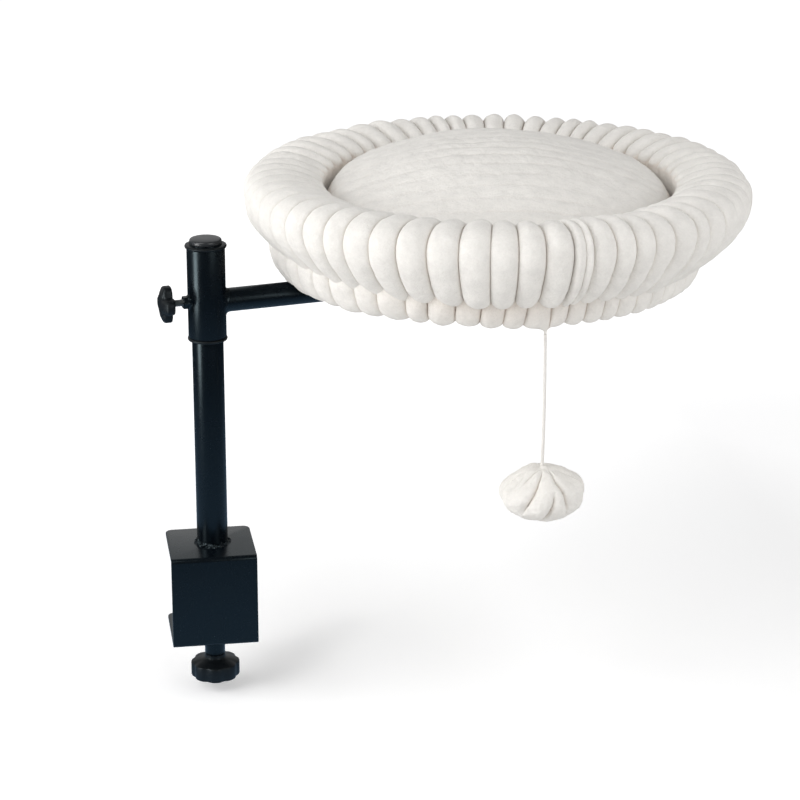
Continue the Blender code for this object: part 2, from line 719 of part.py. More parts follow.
def bolster_point(angle, groove):
    """A point of the bolster's leaning oval, drawn in by the groove."""
    half_width = BOLSTER_HALF_WIDTH - groove
    half_height = BOLSTER_HALF_HEIGHT - groove
    lean = BOLSTER_LEAN_SHARE * half_height * math.sin(angle)
    radius = BOLSTER_RING_RADIUS + half_width * math.cos(angle) + lean
    return radius, BOLSTER_HEIGHT + half_height * math.sin(angle)


def bolster_section(groove):
    """The oval from its foot up over the crown to its inner lip, then down the wall beside the cushion.

    A groove is deepest on the crown and fades out at the foot and the lip, where the ring is sewn down.
    """
    points = []
    for i in range(BOLSTER_STEPS + 1):
        share = i / BOLSTER_STEPS
        angle = BOLSTER_FOOT_ANGLE + share * (BOLSTER_LIP_ANGLE - BOLSTER_FOOT_ANGLE)
        points.append(bolster_point(angle, groove * math.sin(math.pi * share)))
    foot_height = points[0][1]
    lip_height = points[-1][1]
    points.append((WALL_RADIUS, foot_height + (lip_height - foot_height) * 2 / 3))
    points.append((WALL_RADIUS, foot_height))
    return points


def rim_section(groove):
    """The small tier: a wall beside the board, a round belly under it, and a top that follows the bolster."""
    foot_radius, foot_height = bolster_point(BOLSTER_FOOT_ANGLE, 0)
    next_angle = BOLSTER_FOOT_ANGLE + (BOLSTER_LIP_ANGLE - BOLSTER_FOOT_ANGLE) / BOLSTER_STEPS
    next_radius, next_height = bolster_point(next_angle, 0)
    slope = (next_height - foot_height) / (next_radius - foot_radius)
    top = foot_height - FIT_GAP
    points = [(WALL_RADIUS, top)]
    for i in range(RIM_STEPS + 1):
        share = i / RIM_STEPS
        angle = RIM_FIRST_ANGLE + share * (RIM_LAST_ANGLE - RIM_FIRST_ANGLE)
        draw_in = groove * share
        radius = RIM_RING_RADIUS + (RIM_HALF_WIDTH - draw_in) * math.cos(angle)
        height = RIM_HEIGHT + (RIM_HALF_HEIGHT - groove * math.sin(math.pi * share)) * math.sin(angle)
        points.append((radius, height))
    outer = RIM_RING_RADIUS + RIM_HALF_WIDTH - RIM_TOP_SET_IN - groove
    points.append((outer, top + slope * (outer - foot_radius) - FIT_GAP))
    points.append((foot_radius, top))
    return points


def ribbed_ring(name, section, groove, first_rib, bed_frame):
    """Bridges a section at each crest and each groove, all the way round."""
    loops = []
    for step in range(2 * RIBS):
        angle = math.tau * (step + first_rib) / (2 * RIBS)
        points = section(groove * (step % 2))
        loops.append([(r * math.cos(angle), r * math.sin(angle), z) for r, z in points])
    return solid(name, lofted(loops, closed_path=True), plush(), bed_frame)


def soft_rings(bed_frame):
    ribbed_ring("bolster_ring", bolster_section, BOLSTER_GROOVE, 0, bed_frame)
    rim = ribbed_ring("base_rim", rim_section, RIM_GROOVE, 1, bed_frame)
    channel = turned(rod_profile(ARM_RADIUS + FIT_GAP, 0, BED_REACH), TUBE_SIDES)
    cut(rim, cutter("arm_channel_cutter", channel, bed_frame, ON_AXIS, FACING_BACK))


def cushion_top(x, y, edge_radius, edge_height):
    """The crown of the cushion, with shallow channels that run along X and fade towards the edge."""
    share = min((x * x + y * y) / (edge_radius * edge_radius), 1)
    wave = CUSHION_CHANNEL * (math.cos(math.tau * y / CUSHION_PITCH) - 1) / 2
    return edge_height + CUSHION_CROWN * (1 - share) ** 0.8 + wave * (1 - share)


def seat_cushion(bed_frame):
    """Rows of cross-sections from one side of the cushion to the other, four to each channel."""
    lip_radius, lip_height = bolster_point(BOLSTER_LIP_ANGLE, 0)
    edge_radius = lip_radius * math.cos(math.pi / (2 * RIBS)) - FIT_GAP
    base_radius = SEAT_RADIUS
    bottom = BOARD_TOP + FIT_GAP
    middle = (bottom + lip_height) / 2
    rows = round(2 * edge_radius / CUSHION_PITCH * CUSHION_ROWS_PER_CHANNEL)
    ends = list(CUSHION_END_SHARES)
    shares = [-share for share in ends[::-1]] + [2 * row / rows - 1 for row in range(1, rows)] + ends
    loops = []
    for across in shares:
        along = math.sqrt(1 - across * across)
        loop = []
        for i in range(CUSHION_COLUMNS + 1):
            x = edge_radius * along * (2 * i / CUSHION_COLUMNS - 1)
            y = edge_radius * across
            loop.append((x, y, cushion_top(x, y, edge_radius, lip_height)))
        waist = base_radius - CUSHION_DRAW_IN
        loop.append((waist * along, waist * across, middle))
        for i in range(CUSHION_BASE_COLUMNS + 1):
            x = base_radius * along * (1 - 2 * i / CUSHION_BASE_COLUMNS)
            loop.append((x, base_radius * across, bottom))
        loop.append((-waist * along, waist * across, middle))
        loops.append(loop)
    solid("seat_cushion", lofted(loops), plush(), bed_frame, (0, 0, 0), (0, 0, CUSHION_TURN))


# The hanging toy, in its own frame: its origin is the knot that the cord swings from


def cord_knot(toy_frame):
    bm = bmesh.new()
    bmesh.ops.create_uvsphere(bm, u_segments=12, v_segments=8, radius=KNOT_RADIUS)
    solid("cord_knot", bm, plush(), toy_frame)


def toy_cord(toy_frame):
    curve = bpy.data.curves.new("toy_cord", "CURVE")
    curve.dimensions = "3D"
    curve.bevel_depth = CORD_RADIUS
    curve.bevel_resolution = 2
    curve.use_fill_caps = True
    line = curve.splines.new("POLY")
    line.points.add(CORD_STEPS)
    for i, point in enumerate(line.points):
        drop = CORD_FREE_LENGTH * i / CORD_STEPS
        point.co = (0, 0, CORD_TOP - KNOT_HEIGHT - drop, 1)
    cord = bpy.data.objects.new("toy_cord", curve)
    bpy.context.scene.collection.objects.link(cord)
    curve.materials.append(plush())
    cord.parent = toy_frame


def pompom_ring(ring):
    """One level of the gathered ball: ribs curl round it from the collar at the top to the tuck below."""
    reach_share = POMPOM_REACH_SHARES[ring]
    height_share = POMPOM_HEIGHT_SHARES[ring]
    height = height_share * (POMPOM_TOP if height_share > 0 else POMPOM_BOTTOM)
    around = POMPOM_RIBS * POMPOM_RIB_POINTS
    down = ring / (len(POMPOM_REACH_SHARES) - 1)
    loop = []
    for i in range(around):
        rib_angle = math.tau * i / around
        draw_in = POMPOM_GROOVE * (1 - math.cos(POMPOM_RIBS * rib_angle)) / 2 * reach_share
        angle = rib_angle + POMPOM_CURL * (down - 1 / 2)
        radius = POMPOM_RADIUS * reach_share - draw_in
        loop.append((radius * math.cos(angle), radius * math.sin(angle), height))
    return loop


def toy_pompom(toy_frame):
    loops = [pompom_ring(ring) for ring in range(len(POMPOM_REACH_SHARES))]
    solid("toy_pompom", lofted(loops), plush(), toy_frame, (0, 0, POMPOM_HEIGHT - KNOT_HEIGHT))


def build():
    clear_scene()
    clamp_bracket()
    jaw_liner()
    threaded_boss()
    pressure_pad()
    clamp_screw()
    hand_knob()
    post_tube()
    post_cap()
    bush("upper_bush", UPPER_COLLAR_RADIUS, SLEEVE_TOP + FIT_GAP, UPPER_COLLAR - FIT_GAP, -BUSH_BARREL)
    bush("lower_bush", LOWER_COLLAR_RADIUS, SLEEVE_FOOT - FIT_GAP, -LOWER_COLLAR, BUSH_BARREL)
    arm_frame = empty_frame("arm_frame", (0, 0, ARM_HEIGHT), ARM_TURN)
    lock_frame = empty_frame("lock_frame", (0, 0, LOCK_RISE - ARM_RISE))
    lock_frame.parent = arm_frame
    sleeve(arm_frame, lock_frame)
    arm_tube(arm_frame)
    arm_end_cap(arm_frame)
    lock_nut(lock_frame)
    lock_screw(lock_frame)
    lock_knob(lock_frame)
    bed_frame = empty_frame("bed_frame", (BED_REACH, 0, 0))
    bed_frame.parent = arm_frame
    support_plate(bed_frame)
    board_and_lining(bed_frame)
    board_screws(bed_frame)
    soft_rings(bed_frame)
    seat_cushion(bed_frame)
    knot = Matrix.Rotation(TOY_AZIMUTH, 3, "Z").col[0] * RIM_RING_RADIUS
    toy_frame = empty_frame("toy_frame", (knot.x, knot.y, KNOT_HEIGHT))
    toy_frame.parent = bed_frame
    cord_knot(toy_frame)
    toy_cord(toy_frame)
    toy_pompom(toy_frame)


build()
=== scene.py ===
"""Cat perch: a round plush bed on a swivel arm, on a post that clamps to a table, dressed for its photograph."""

import math

import bpy
import numpy as np
from mathutils import Matrix, Vector, noise


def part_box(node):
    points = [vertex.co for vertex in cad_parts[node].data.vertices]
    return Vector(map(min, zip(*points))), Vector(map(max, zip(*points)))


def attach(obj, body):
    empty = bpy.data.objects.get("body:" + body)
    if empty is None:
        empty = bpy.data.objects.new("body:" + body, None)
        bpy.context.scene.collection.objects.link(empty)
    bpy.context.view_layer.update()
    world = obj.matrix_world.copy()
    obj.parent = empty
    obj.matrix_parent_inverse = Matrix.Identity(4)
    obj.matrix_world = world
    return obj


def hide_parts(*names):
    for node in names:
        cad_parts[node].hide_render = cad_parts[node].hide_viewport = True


bl_info = {
    "name": "Cat perch",
    "version": (1, 0, 0),
    "blender": (4, 5, 0),
    "location": "3D View > Sidebar > Cat perch",
    "description": "Builds the clamp, post, swivel arm, ribbed plush bed and hanging ball of a cat perch",
    "category": "Object",
}

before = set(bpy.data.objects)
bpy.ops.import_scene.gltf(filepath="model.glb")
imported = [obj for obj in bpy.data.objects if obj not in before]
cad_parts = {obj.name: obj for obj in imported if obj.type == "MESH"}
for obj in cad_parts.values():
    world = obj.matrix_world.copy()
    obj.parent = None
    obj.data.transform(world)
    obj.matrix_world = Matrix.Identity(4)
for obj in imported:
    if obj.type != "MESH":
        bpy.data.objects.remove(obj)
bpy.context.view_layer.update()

# Clamp
PLATE = 0.003
PLATE_TOP = 0.0053
CLAMP_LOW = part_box("clamp_bracket")[0]
CLAMP_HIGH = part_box("clamp_bracket")[1]
BEND_RADIUS = 0.0038
PLATE_CORNER = 0.006
SCREW_RADIUS = 0.005
SCREW_HOLE = SCREW_RADIUS + 0.0003
THREAD_PITCH = 0.0015
BOSS_RADIUS = 0.00875
PAD_RADIUS = 0.019

# Post, sleeve and arm
TUBE_WALL = 0.0015
SLEEVE_WALL = 0.0012
CLEARANCE = 0.0003
POST_RADIUS = 0.0132
POST_FOOT = 0.0056
POST_TOP = 0.2718
SLEEVE_RADIUS = 0.0160
TUBE_START = SLEEVE_RADIUS - 0.003
SLEEVE_FOOT = 0.1920
SLEEVE_TOP = 0.2683
ARM_TURN = math.radians(11.4)
ARM_HEIGHT = 0.2212
ARM_RADIUS = 0.0100
ARM_END = 0.3375
LOCK_HEIGHT = 0.2227
LOCK_FACE = 0.0208
LOCK_BASE = 0.0281
LOCK_SCREW_RADIUS = 0.003
LOCK_SCREW_PITCH = 0.001
LOCK_HOLE = 0.0031

# Bed
BED_REACH = 0.2625
WALL_RADIUS = 0.15235
BOARD_TOP = 0.2451
RING_RADIUS = 0.1687
RING_HEIGHT = 0.2768
RING_HALF_WIDTH = 0.0442
RING_HALF_HEIGHT = 0.0395
RING_DROP = 0.0404
RING_LEAN = 0.52
RING_FOOT = -68
RING_LIP = 138
TIER_RADIUS = 0.1705
TIER_HEIGHT = 0.2473
TIER_HALF_WIDTH = 0.0171
TIER_HALF_HEIGHT = 0.0250
CUSHION_RADIUS = 0.1492
CUSHION_EDGE = 0.2957
CUSHION_LEAN = 0.0130
CUSHION_LEAN_TURN = math.radians(85.5)
CUSHION_TURN = math.radians(-20.6)

# Toy
KNOT = (0.262379, -0.11854, 0.2200)
CORD_TOP = 0.2177
CORD_BOTTOM = 0.1052
CORD_LAY = 0.0085
BALL_EQUATOR = 0.0837
BALL_RADIUS = 0.0345
BALL_RISE = 0.0212
BALL_DROP = 0.0237

ARM_FRAME = Matrix.Translation((0, 0, ARM_HEIGHT)) @ Matrix.Rotation(ARM_TURN, 4, "Z")
LOCK_FRAME = Matrix.Translation((0, 0, LOCK_HEIGHT)) @ Matrix.Rotation(ARM_TURN, 4, "Z")
BED_FRAME = ARM_FRAME @ Matrix.Translation((BED_REACH, 0, 0))
ALONG_ARM = Matrix.Rotation(math.radians(90), 4, "Y")
AGAINST_ARM = Matrix.Rotation(math.radians(-90), 4, "Y")
BED_CENTRE = BED_FRAME.translation

# The ball's outline: share of the way down, reach and height as shares
BALL_PROFILE = (
    (0.00, 0.060, 1.00),
    (0.05, 0.075, 0.95),
    (0.10, 0.100, 0.90),
    (0.15, 0.280, 0.92),
    (0.22, 0.500, 0.84),
    (0.30, 0.720, 0.64),
    (0.37, 0.880, 0.40),
    (0.44, 0.970, 0.14),
    (0.50, 1.000, -0.10),
    (0.57, 0.980, -0.30),
    (0.64, 0.910, -0.50),
    (0.72, 0.790, -0.68),
    (0.80, 0.620, -0.84),
    (0.88, 0.460, -0.94),
    (0.95, 0.240, -0.99),
    (1.00, 0.040, -1.00),
)
BALL_FACING = -102.7
# How far it hangs to one side, at heights given as shares of its drop, and the way that it goes
BALL_LEAN = ((-1, -0.5, 0, 0.45, 0.75, 0.90), (-0.0020, -0.0004, 0.0006, 0.0040, 0.0026, 0))
BALL_ASIDE = (0.987, -0.160, 0)
# Its folds: depth, half width in degrees, and points of (share of the way down, degrees from the camera's side)
BALL_FOLDS = (
    (1.30, 16, ((0.14, 0), (0.20, -3), (0.29, -8), (0.43, -14), (0.55, -23), (0.68, -33))),
    (1.35, 15, ((0.36, 20), (0.46, 18), (0.55, 15), (0.69, 10), (0.84, 3))),
    (1.25, 13, ((0.13, 26), (0.20, 30), (0.28, 29), (0.35, 33), (0.54, 42), (0.70, 46))),
    (0.55, 10, ((0.12, 38), (0.20, 33), (0.27, 28))),
    (0.75, 12, ((0.12, -20), (0.20, -30), (0.30, -40), (0.40, -46))),
    (0.95, 15, ((0.15, 78), (0.35, 84), (0.60, 90), (0.78, 86))),
    (1.05, 16, ((0.16, 120), (0.40, 128), (0.70, 131))),
    (0.90, 14, ((0.30, 158), (0.50, 164), (0.80, 166))),
    (1.10, 16, ((0.14, 196), (0.35, 202), (0.62, 210), (0.74, 208))),
    (0.85, 14, ((0.25, 236), (0.50, 243), (0.72, 240))),
    (1.00, 15, ((0.15, 268), (0.38, 274), (0.66, 280), (0.80, 278))),
    (0.45, 12, ((0.20, 306), (0.45, 300), (0.62, 296))),
)

# Camera, fitted to the photograph
CAMERA_PAN = math.radians(-9.235)
CAMERA_PLACE = (0.16119, -1.99425, 0.83219)
CAMERA_TILT = math.radians(70.733)
CAMERA_ROLL = math.radians(0.169)
CAMERA_LENS = 112.545
CAMERA_SENSOR = 36
FLOOR_HEIGHT = -0.1320

# Two ovals of painted shadow in the floor's look to the camera, each the place, turn and scale of an oval
FLOOR_SHADE_OVAL = ((0.14, -0.89, 0), 0.92, (0.833, 1, 1))
FLOOR_SHADOW_CORE = ((0.078, -0.938, 0), 0.75, (1.5, 0.6, 1))

MERGE_DISTANCE = 0.000002

# Rib edges of the ring and of the tier, in degrees round the bed, where the photograph shows them
RING_FRONT = (
    (-142.1, -136.5, -129.9, -123.6, -116.9, -109.9, -103.1, -97.1, -91.2)
    + (-85.1, -82.7, -80.8, -75.5, -70.5, -65.5)
)
RING_BACK = (51.3, 55.6, 60.5, 66.0, 71.6, 77.4, 83.0, 88.8, 93.7, 98.4, 103.4)
TIER_FRONT = (
    (-148.1, -139.8, -132.9, -125.1, -119.4, -112.0, -105.3, -99.1, -93.5)
    + (-86.9, -82.1, -76.8, -71.6, -66.8)
)

# Where the seams round the bed are shallower, and their painted shade lighter: degrees, half width in degrees, and the
# share of depth and of painted shade lost
RING_SOFT_SIDES = ((-22, 36, 0.74), (-174, 42, 0.74), (-99, 28, 0.27))
TIER_SOFT_SIDES = ((-30, 34, 0.65), (-170, 32, 0.62))


def linear(code):
    """An sRGB hex value as the linear colour that a shader takes."""
    channels = [int(code[i : i + 2], 16) / 255 for i in (1, 3, 5)]
    return tuple(c / 12.92 if c <= 0.04045 else ((c + 0.055) / 1.055) ** 2.4 for c in channels)


def size_setting(label, text, default, low, high):
    return bpy.props.FloatProperty(
        name=label, description=text, default=default, min=low, max=high, unit="LENGTH", precision=4
    )


def colour_setting(label, text, code):
    return bpy.props.FloatVectorProperty(
        name=label, description=text, default=linear(code), size=3, min=0, max=1, subtype="COLOR"
    )


class PerchSizes(bpy.types.PropertyGroup):
    """Sizes of the stuffing, the welds and the edges."""

    ring_puff: size_setting("Ring puff", "How far the big ring's ribs stand above their seams", 0.0092, 0.002, 0.012)
    tier_puff: size_setting("Tier puff", "How far the tier's ribs stand above their seams", 0.0075, 0.002, 0.010)
    cushion_crown: size_setting("Cushion crown", "How high its middle stands above its edge", 0.0375, 0.020, 0.040)
    channel_pitch: size_setting("Channel pitch", "Width of one rib of the cushion's plush", 0.0172, 0.006, 0.030)
    ball_puff: size_setting("Ball puff", "How far a lobe of the ball stands above its creases", 0.0050, 0.001, 0.008)
    weld_size: size_setting("Weld size", "How far a weld reaches out from its tube", 0.0020, 0.001, 0.004)
    edge_round: size_setting("Edge rounding", "Rounding of the cut steel's edges", 0.0005, 0.0002, 0.0012)
    cord_width: size_setting("Cord width", "Thickness of the toy's cord", 0.0028, 0.0020, 0.0030)


class PerchColours(bpy.types.PropertyGroup):
    """Colours of the finishes, as they look in plain light, and the painted shade in the plush's creases."""

    plush: colour_setting("Plush", "Off-white pile of the bed and the ball", "#f3f0eb")
    # Painted shade: the plush is painted in this darker, warmer colour deep in its seams, channels and folds, and
    # under the ring's overhang
    crease_shade: colour_setting("Creases", "Plush deep in its seams", "#e3d8cd")
    powder: colour_setting("Powder coat", "Black paint on the steel", "#060b11")
    plastic: colour_setting("Plastic", "Moulded knobs, bushes and caps", "#0c0f12")
    rubber: colour_setting("Rubber", "Liner and pad that grip the table", "#121314")
    zinc: colour_setting("Zinc", "Bright plate on the board screws", "#c3c6ca")
    dark_zinc: colour_setting("Black zinc", "Plate on the two threads", "#8b9090")
    lining: colour_setting("Lining", "Cloth under the board", "#d8d4cc")
    wood: colour_setting("Plywood", "Birch board inside the bed", "#cfb184")
    cord: colour_setting("Cord", "Twisted cord of the toy", "#efece7")


# Node helpers and finishes


def add(tree, kind, settings=None, links=None):
    """One node, with its settings, its sockets' values, and links from (node, output)."""
    made = tree.nodes.new(kind)
    for key, value in (settings or {}).items():
        if isinstance(key, str) and hasattr(made, key):
            setattr(made, key, value)
        else:
            made.inputs[key].default_value = value
    for key, (source, output) in (links or {}).items():
        tree.links.new(source.outputs[output], made.inputs[key])
    return made


def new_finish(name):
    """An empty material with its shader, ready for sockets."""
    made = bpy.data.materials.new(name)
    made.use_nodes = True
    tree = made.node_tree
    return made, tree, tree.nodes["Principled BSDF"]


def opaque(colour):
    return (*colour, 1)


def plush_finish(colours):
    """Short-pile polyester plush, sheared to about 1.5 mm: no gloss, a soft sheen at grazing angles, a fine nap. It is
    painted darker with painted shade in its creases, and painted much darker in reflections.
    """
    made, tree, shader = new_finish("off_white_plush")
    place = add(tree, "ShaderNodeTexCoord")
    noises = []
    for scale, detail, rough in ((620, 4, 0.65), (190, 3, 0.6), (75, 4, 0.65)):
        settings = {"Scale": scale, "Detail": detail, "Roughness": rough}
        noises.append(add(tree, "ShaderNodeTexNoise", settings, {"Vector": (place, "Object")}))
    nap, pile, shade = noises
    # Painted shade: a point attribute says how much painted crease shade each point gets, and mixes the plush towards
    # the darker crease colour
    deep = add(tree, "ShaderNodeAttribute", {"attribute_name": "crease_shade"})
    middle = {"From Min": 0.3, "From Max": 0.7}
    light = add(tree, "ShaderNodeMapRange", {**middle, "To Min": 0.91, "To Max": 1.01}, {"Value": (shade, "Fac")})
    fine = add(tree, "ShaderNodeMapRange", {**middle, "To Min": 0.965, "To Max": 1.025}, {"Value": (nap, "Fac")})
    both = add(tree, "ShaderNodeMath", {"operation": "MULTIPLY"}, {0: (light, 0), 1: (fine, 0)})
    shaded_plush = add(
        tree,
        "ShaderNodeMix",
        {"data_type": "RGBA", 6: opaque(colours.plush), 7: opaque(colours.crease_shade)},
        {0: (deep, "Fac")},
    )
    # Painted reflection: for glossy rays the plush is painted at 12 % of its colour, so the metal shows a dark
    # reflection of it
    ray = add(tree, "ShaderNodeLightPath")
    reflection_dimming = add(tree, "ShaderNodeMapRange", {"To Min": 1.0, "To Max": 0.12}, {"Value": (ray, "Is Glossy Ray")})
    dimmed_in_reflections = add(tree, "ShaderNodeMath", {"operation": "MULTIPLY"}, {0: (both, 0), 1: (reflection_dimming, 0)})
    final = add(
        tree,
        "ShaderNodeMix",
        {"data_type": "RGBA", "blend_type": "MULTIPLY", 0: 1.0},
        {6: (shaded_plush, 2), 7: (dimmed_in_reflections, 0)},
    )
    first = add(tree, "ShaderNodeBump", {"Strength": 0.65, "Distance": 0.0014}, {"Height": (pile, "Fac")})
    second = add(
        tree, "ShaderNodeBump", {"Strength": 0.7, "Distance": 0.0006}, {"Height": (nap, "Fac"), "Normal": (first, 0)}
    )
    tree.links.new(final.outputs[2], shader.inputs["Base Color"])
    tree.links.new(second.outputs[0], shader.inputs["Normal"])
    shader.inputs["Roughness"].default_value = 0.95
    shader.inputs["Specular IOR Level"].default_value = 0.2
    shader.inputs["Sheen Weight"].default_value = 0.12
    shader.inputs["Sheen Roughness"].default_value = 0.5
    return made


def cord_finish(colours):
    """Three-strand polyester cord, soft laid: matt, with fine fibres along its strands."""
    made, tree, shader = new_finish("off_white_cord")
    place = add(tree, "ShaderNodeTexCoord")
    fibre = add(tree, "ShaderNodeTexNoise", {"Scale": 2200, "Detail": 2}, {"Vector": (place, "Object")})
    bump = add(tree, "ShaderNodeBump", {"Strength": 0.4, "Distance": 0.0002}, {"Height": (fibre, "Fac")})
    tone = add(tree, "ShaderNodeMapRange", {"To Min": 0.9, "To Max": 1.0}, {"Value": (fibre, "Fac")})
    mixed = add(
        tree,
        "ShaderNodeMix",
        {"data_type": "RGBA", "blend_type": "MULTIPLY", 0: 1.0, 6: opaque(colours.cord)},
        {7: (tone, 0)},
    )
    tree.links.new(mixed.outputs[2], shader.inputs["Base Color"])
    tree.links.new(bump.outputs[0], shader.inputs["Normal"])
    shader.inputs["Roughness"].default_value = 0.85
    shader.inputs["Sheen Weight"].default_value = 0.1
    return made


def hard_finish(name, colour, roughness, metallic, grain, depth, spread, grain_detail=2):
    """A hard surface: one colour, a grain of a real size, and roughness that wanders by the spread."""
    made, tree, shader = new_finish(name)
    place = add(tree, "ShaderNodeTexCoord")
    bumps = add(tree, "ShaderNodeTexNoise", {"Scale": grain, "Detail": grain_detail}, {"Vector": (place, "Object")})
    wear = add(tree, "ShaderNodeTexNoise", {"Scale": 60, "Detail": 4}, {"Vector": (place, "Object")})
    rough = add(
        tree,
        "ShaderNodeMapRange",
        {"From Min": 0.3, "From Max": 0.7, "To Min": roughness - spread, "To Max": roughness + spread},
        {"Value": (wear, "Fac")},
    )
    bump = add(tree, "ShaderNodeBump", {"Strength": 0.5, "Distance": depth}, {"Height": (bumps, "Fac")})
    tree.links.new(rough.outputs[0], shader.inputs["Roughness"])
    tree.links.new(bump.outputs[0], shader.inputs["Normal"])
    shader.inputs["Base Color"].default_value = opaque(colour)
    shader.inputs["Metallic"].default_value = metallic
    return made, tree, shader


def powder_finish(colours):
    """Black polyester powder coat, sprayed and baked: semi-gloss, with an orange peel about 1.5 mm across."""
    made, _, shader = hard_finish("black_powder_coat", colours.powder, 0.27, 0, 650, 0.00003, 0.03)
    shader.inputs["Specular Tint"].default_value = (0.72, 0.93, 1.0, 1)
    return made


def plastic_finish(colours):
    """Black polypropylene, moulded in a spark-eroded tool: satin, with a grain about 0.4 mm across."""
    made, _, shader = hard_finish("black_plastic", colours.plastic, 0.46, 0, 2400, 0.00003, 0.05)
    shader.inputs["Specular IOR Level"].default_value = 0.45
    shader.inputs["Specular Tint"].default_value = (0.85, 0.96, 1.0, 1)
    return made


def cap_finish():
    """Black low-density polyethylene, moulded: a waxy shine, a little greyer than the knobs."""
    made, _, shader = hard_finish("black_polyethylene", linear("#25282b"), 0.36, 0, 2400, 0.00002, 0.04)
    shader.inputs["Specular IOR Level"].default_value = 1.0
    return made


def rubber_finish(colours):
    """Black SBR rubber, pressed: matt, a little dusty."""
    return hard_finish("black_rubber", colours.rubber, 0.82, 0, 1500, 0.00008, 0.08)[0]


def dark_zinc_finish(colours):
    """Steel thread with black zinc plate: a dark metal with rubbed crests."""
    return hard_finish("black_zinc_steel", colours.dark_zinc, 0.42, 0.85, 900, 0.00002, 0.08)[0]


def zinc_finish(colours):
    """Steel with bright zinc plate: a grey metal, slightly cloudy."""
    return hard_finish("zinc_steel", colours.zinc, 0.3, 1, 700, 0.00002, 0.08)[0]


def lining_finish(colours):
    """Non-woven polyester, 80 g/m2: matt, with a pressed dimple pattern about 1 mm across."""
    made, tree, shader = hard_finish("lining_cloth", colours.lining, 0.92, 0, 1400, 0.0001, 0.03)
    place = add(tree, "ShaderNodeTexCoord")
    dimple = add(tree, "ShaderNodeTexVoronoi", {"Scale": 900}, {"Vector": (place, "Object")})
    bump = add(tree, "ShaderNodeBump", {"Strength": 0.5, "Distance": 0.0002}, {"Height": (dimple, "Distance")})
    tree.links.new(bump.outputs[0], shader.inputs["Normal"])
    return made


def wood_finish(colours):
    """Birch plywood, sanded: pale, with grain along the bed and plies about 1.3 mm thick."""
    made, tree, shader = hard_finish("plywood", colours.wood, 0.6, 0, 900, 0.00005, 0.05)
    place = add(tree, "ShaderNodeTexCoord")
    stretch = add(tree, "ShaderNodeMapping", {"Scale": (12, 240, 760)}, {"Vector": (place, "Object")})
    grain = add(tree, "ShaderNodeTexNoise", {"Scale": 1, "Detail": 5}, {"Vector": (stretch, 0)})
    tone = add(tree, "ShaderNodeMapRange", {"To Min": 0.7, "To Max": 1.05}, {"Value": (grain, "Fac")})
    mixed = add(
        tree,
        "ShaderNodeMix",
        {"data_type": "RGBA", "blend_type": "MULTIPLY", 0: 1.0, 6: opaque(colours.wood)},
        {7: (tone, 0)},
    )
    tree.links.new(mixed.outputs[2], shader.inputs["Base Color"])
    return made


FINISHES = {
    "off_white_plush": plush_finish,
    "off_white_cord": cord_finish,
    "black_powder_coat": powder_finish,
    "black_plastic": plastic_finish,
    "black_rubber": rubber_finish,
    "black_zinc_steel": dark_zinc_finish,
    "zinc_steel": zinc_finish,
    "lining_cloth": lining_finish,
    "plywood": wood_finish,
}


def finish_for(context, slot):
    """The material of a slot, made the first time that it is asked for."""
    found = bpy.data.materials.get(slot)
    if found and found.get("dressed"):
        return found
    if found:
        found.name = slot + "_cad"
    made = FINISHES[slot](context.scene.perch_colours)
    made["dressed"] = True
    return made


# Modelling helpers


def clear_selection():
    if bpy.context.object and bpy.context.object.mode != "OBJECT":
        bpy.ops.object.mode_set(mode="OBJECT")
    bpy.ops.object.select_all(action="DESELECT")


def into_edit(mode="VERT"):
    bpy.ops.object.mode_set(mode="EDIT")
    bpy.ops.mesh.select_mode(type=mode)


def close_seams():
    """Merges doubled points and turns all the faces outwards."""
    bpy.ops.mesh.select_all(action="SELECT")
    bpy.ops.mesh.remove_doubles(threshold=MERGE_DISTANCE)
    bpy.ops.mesh.normals_make_consistent(inside=False)


def pick_edges(piece, wanted):
    """Selects the edges of the piece whose two ends pass the test, in edit mode."""
    bpy.ops.mesh.select_all(action="DESELECT")
    bpy.ops.object.mode_set(mode="OBJECT")
    mesh = piece.data
    for edge in mesh.edges:
        edge.select = wanted(mesh.vertices[edge.vertices[0]].co, mesh.vertices[edge.vertices[1]].co)
    into_edit("EDGE")


def placed(piece, place):
    """Puts a place into the mesh, so that the object stays at the origin."""
    piece.matrix_world = place @ piece.matrix_world
    select_only(piece)
    bpy.ops.object.transform_apply(location=True, rotation=True, scale=True)


def select_only(piece):
    clear_selection()
    piece.select_set(True)
    bpy.context.view_layer.objects.active = piece


def modify(piece, kind, **settings):
    """Adds one modifier and applies it."""
    select_only(piece)
    made = piece.modifiers.new(kind.title(), kind)
    for key, value in settings.items():
        setattr(made, key, value)
    bpy.ops.object.modifier_apply(modifier=made.name)


def round_edges(piece, width, segments=3, angle=32):
    limit = {"limit_method": "ANGLE", "angle_limit": math.radians(angle)}
    modify(piece, "BEVEL", width=width, segments=segments, use_clamp_overlap=True, **limit)


def smooth(piece, angle=38):
    select_only(piece)
    bpy.ops.object.shade_smooth_by_angle(angle=math.radians(angle))


def dress(context, piece, name, slot, body, nodes=()):
    """Names a piece, gives it its finish, ties it to its body, and hides the solids that it stands for."""
    piece.name = name
    piece.data.name = name
    piece.data.materials.clear()
    piece.data.materials.append(finish_for(context, slot))
    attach(piece, body)
    if nodes:
        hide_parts(*nodes)
    return piece


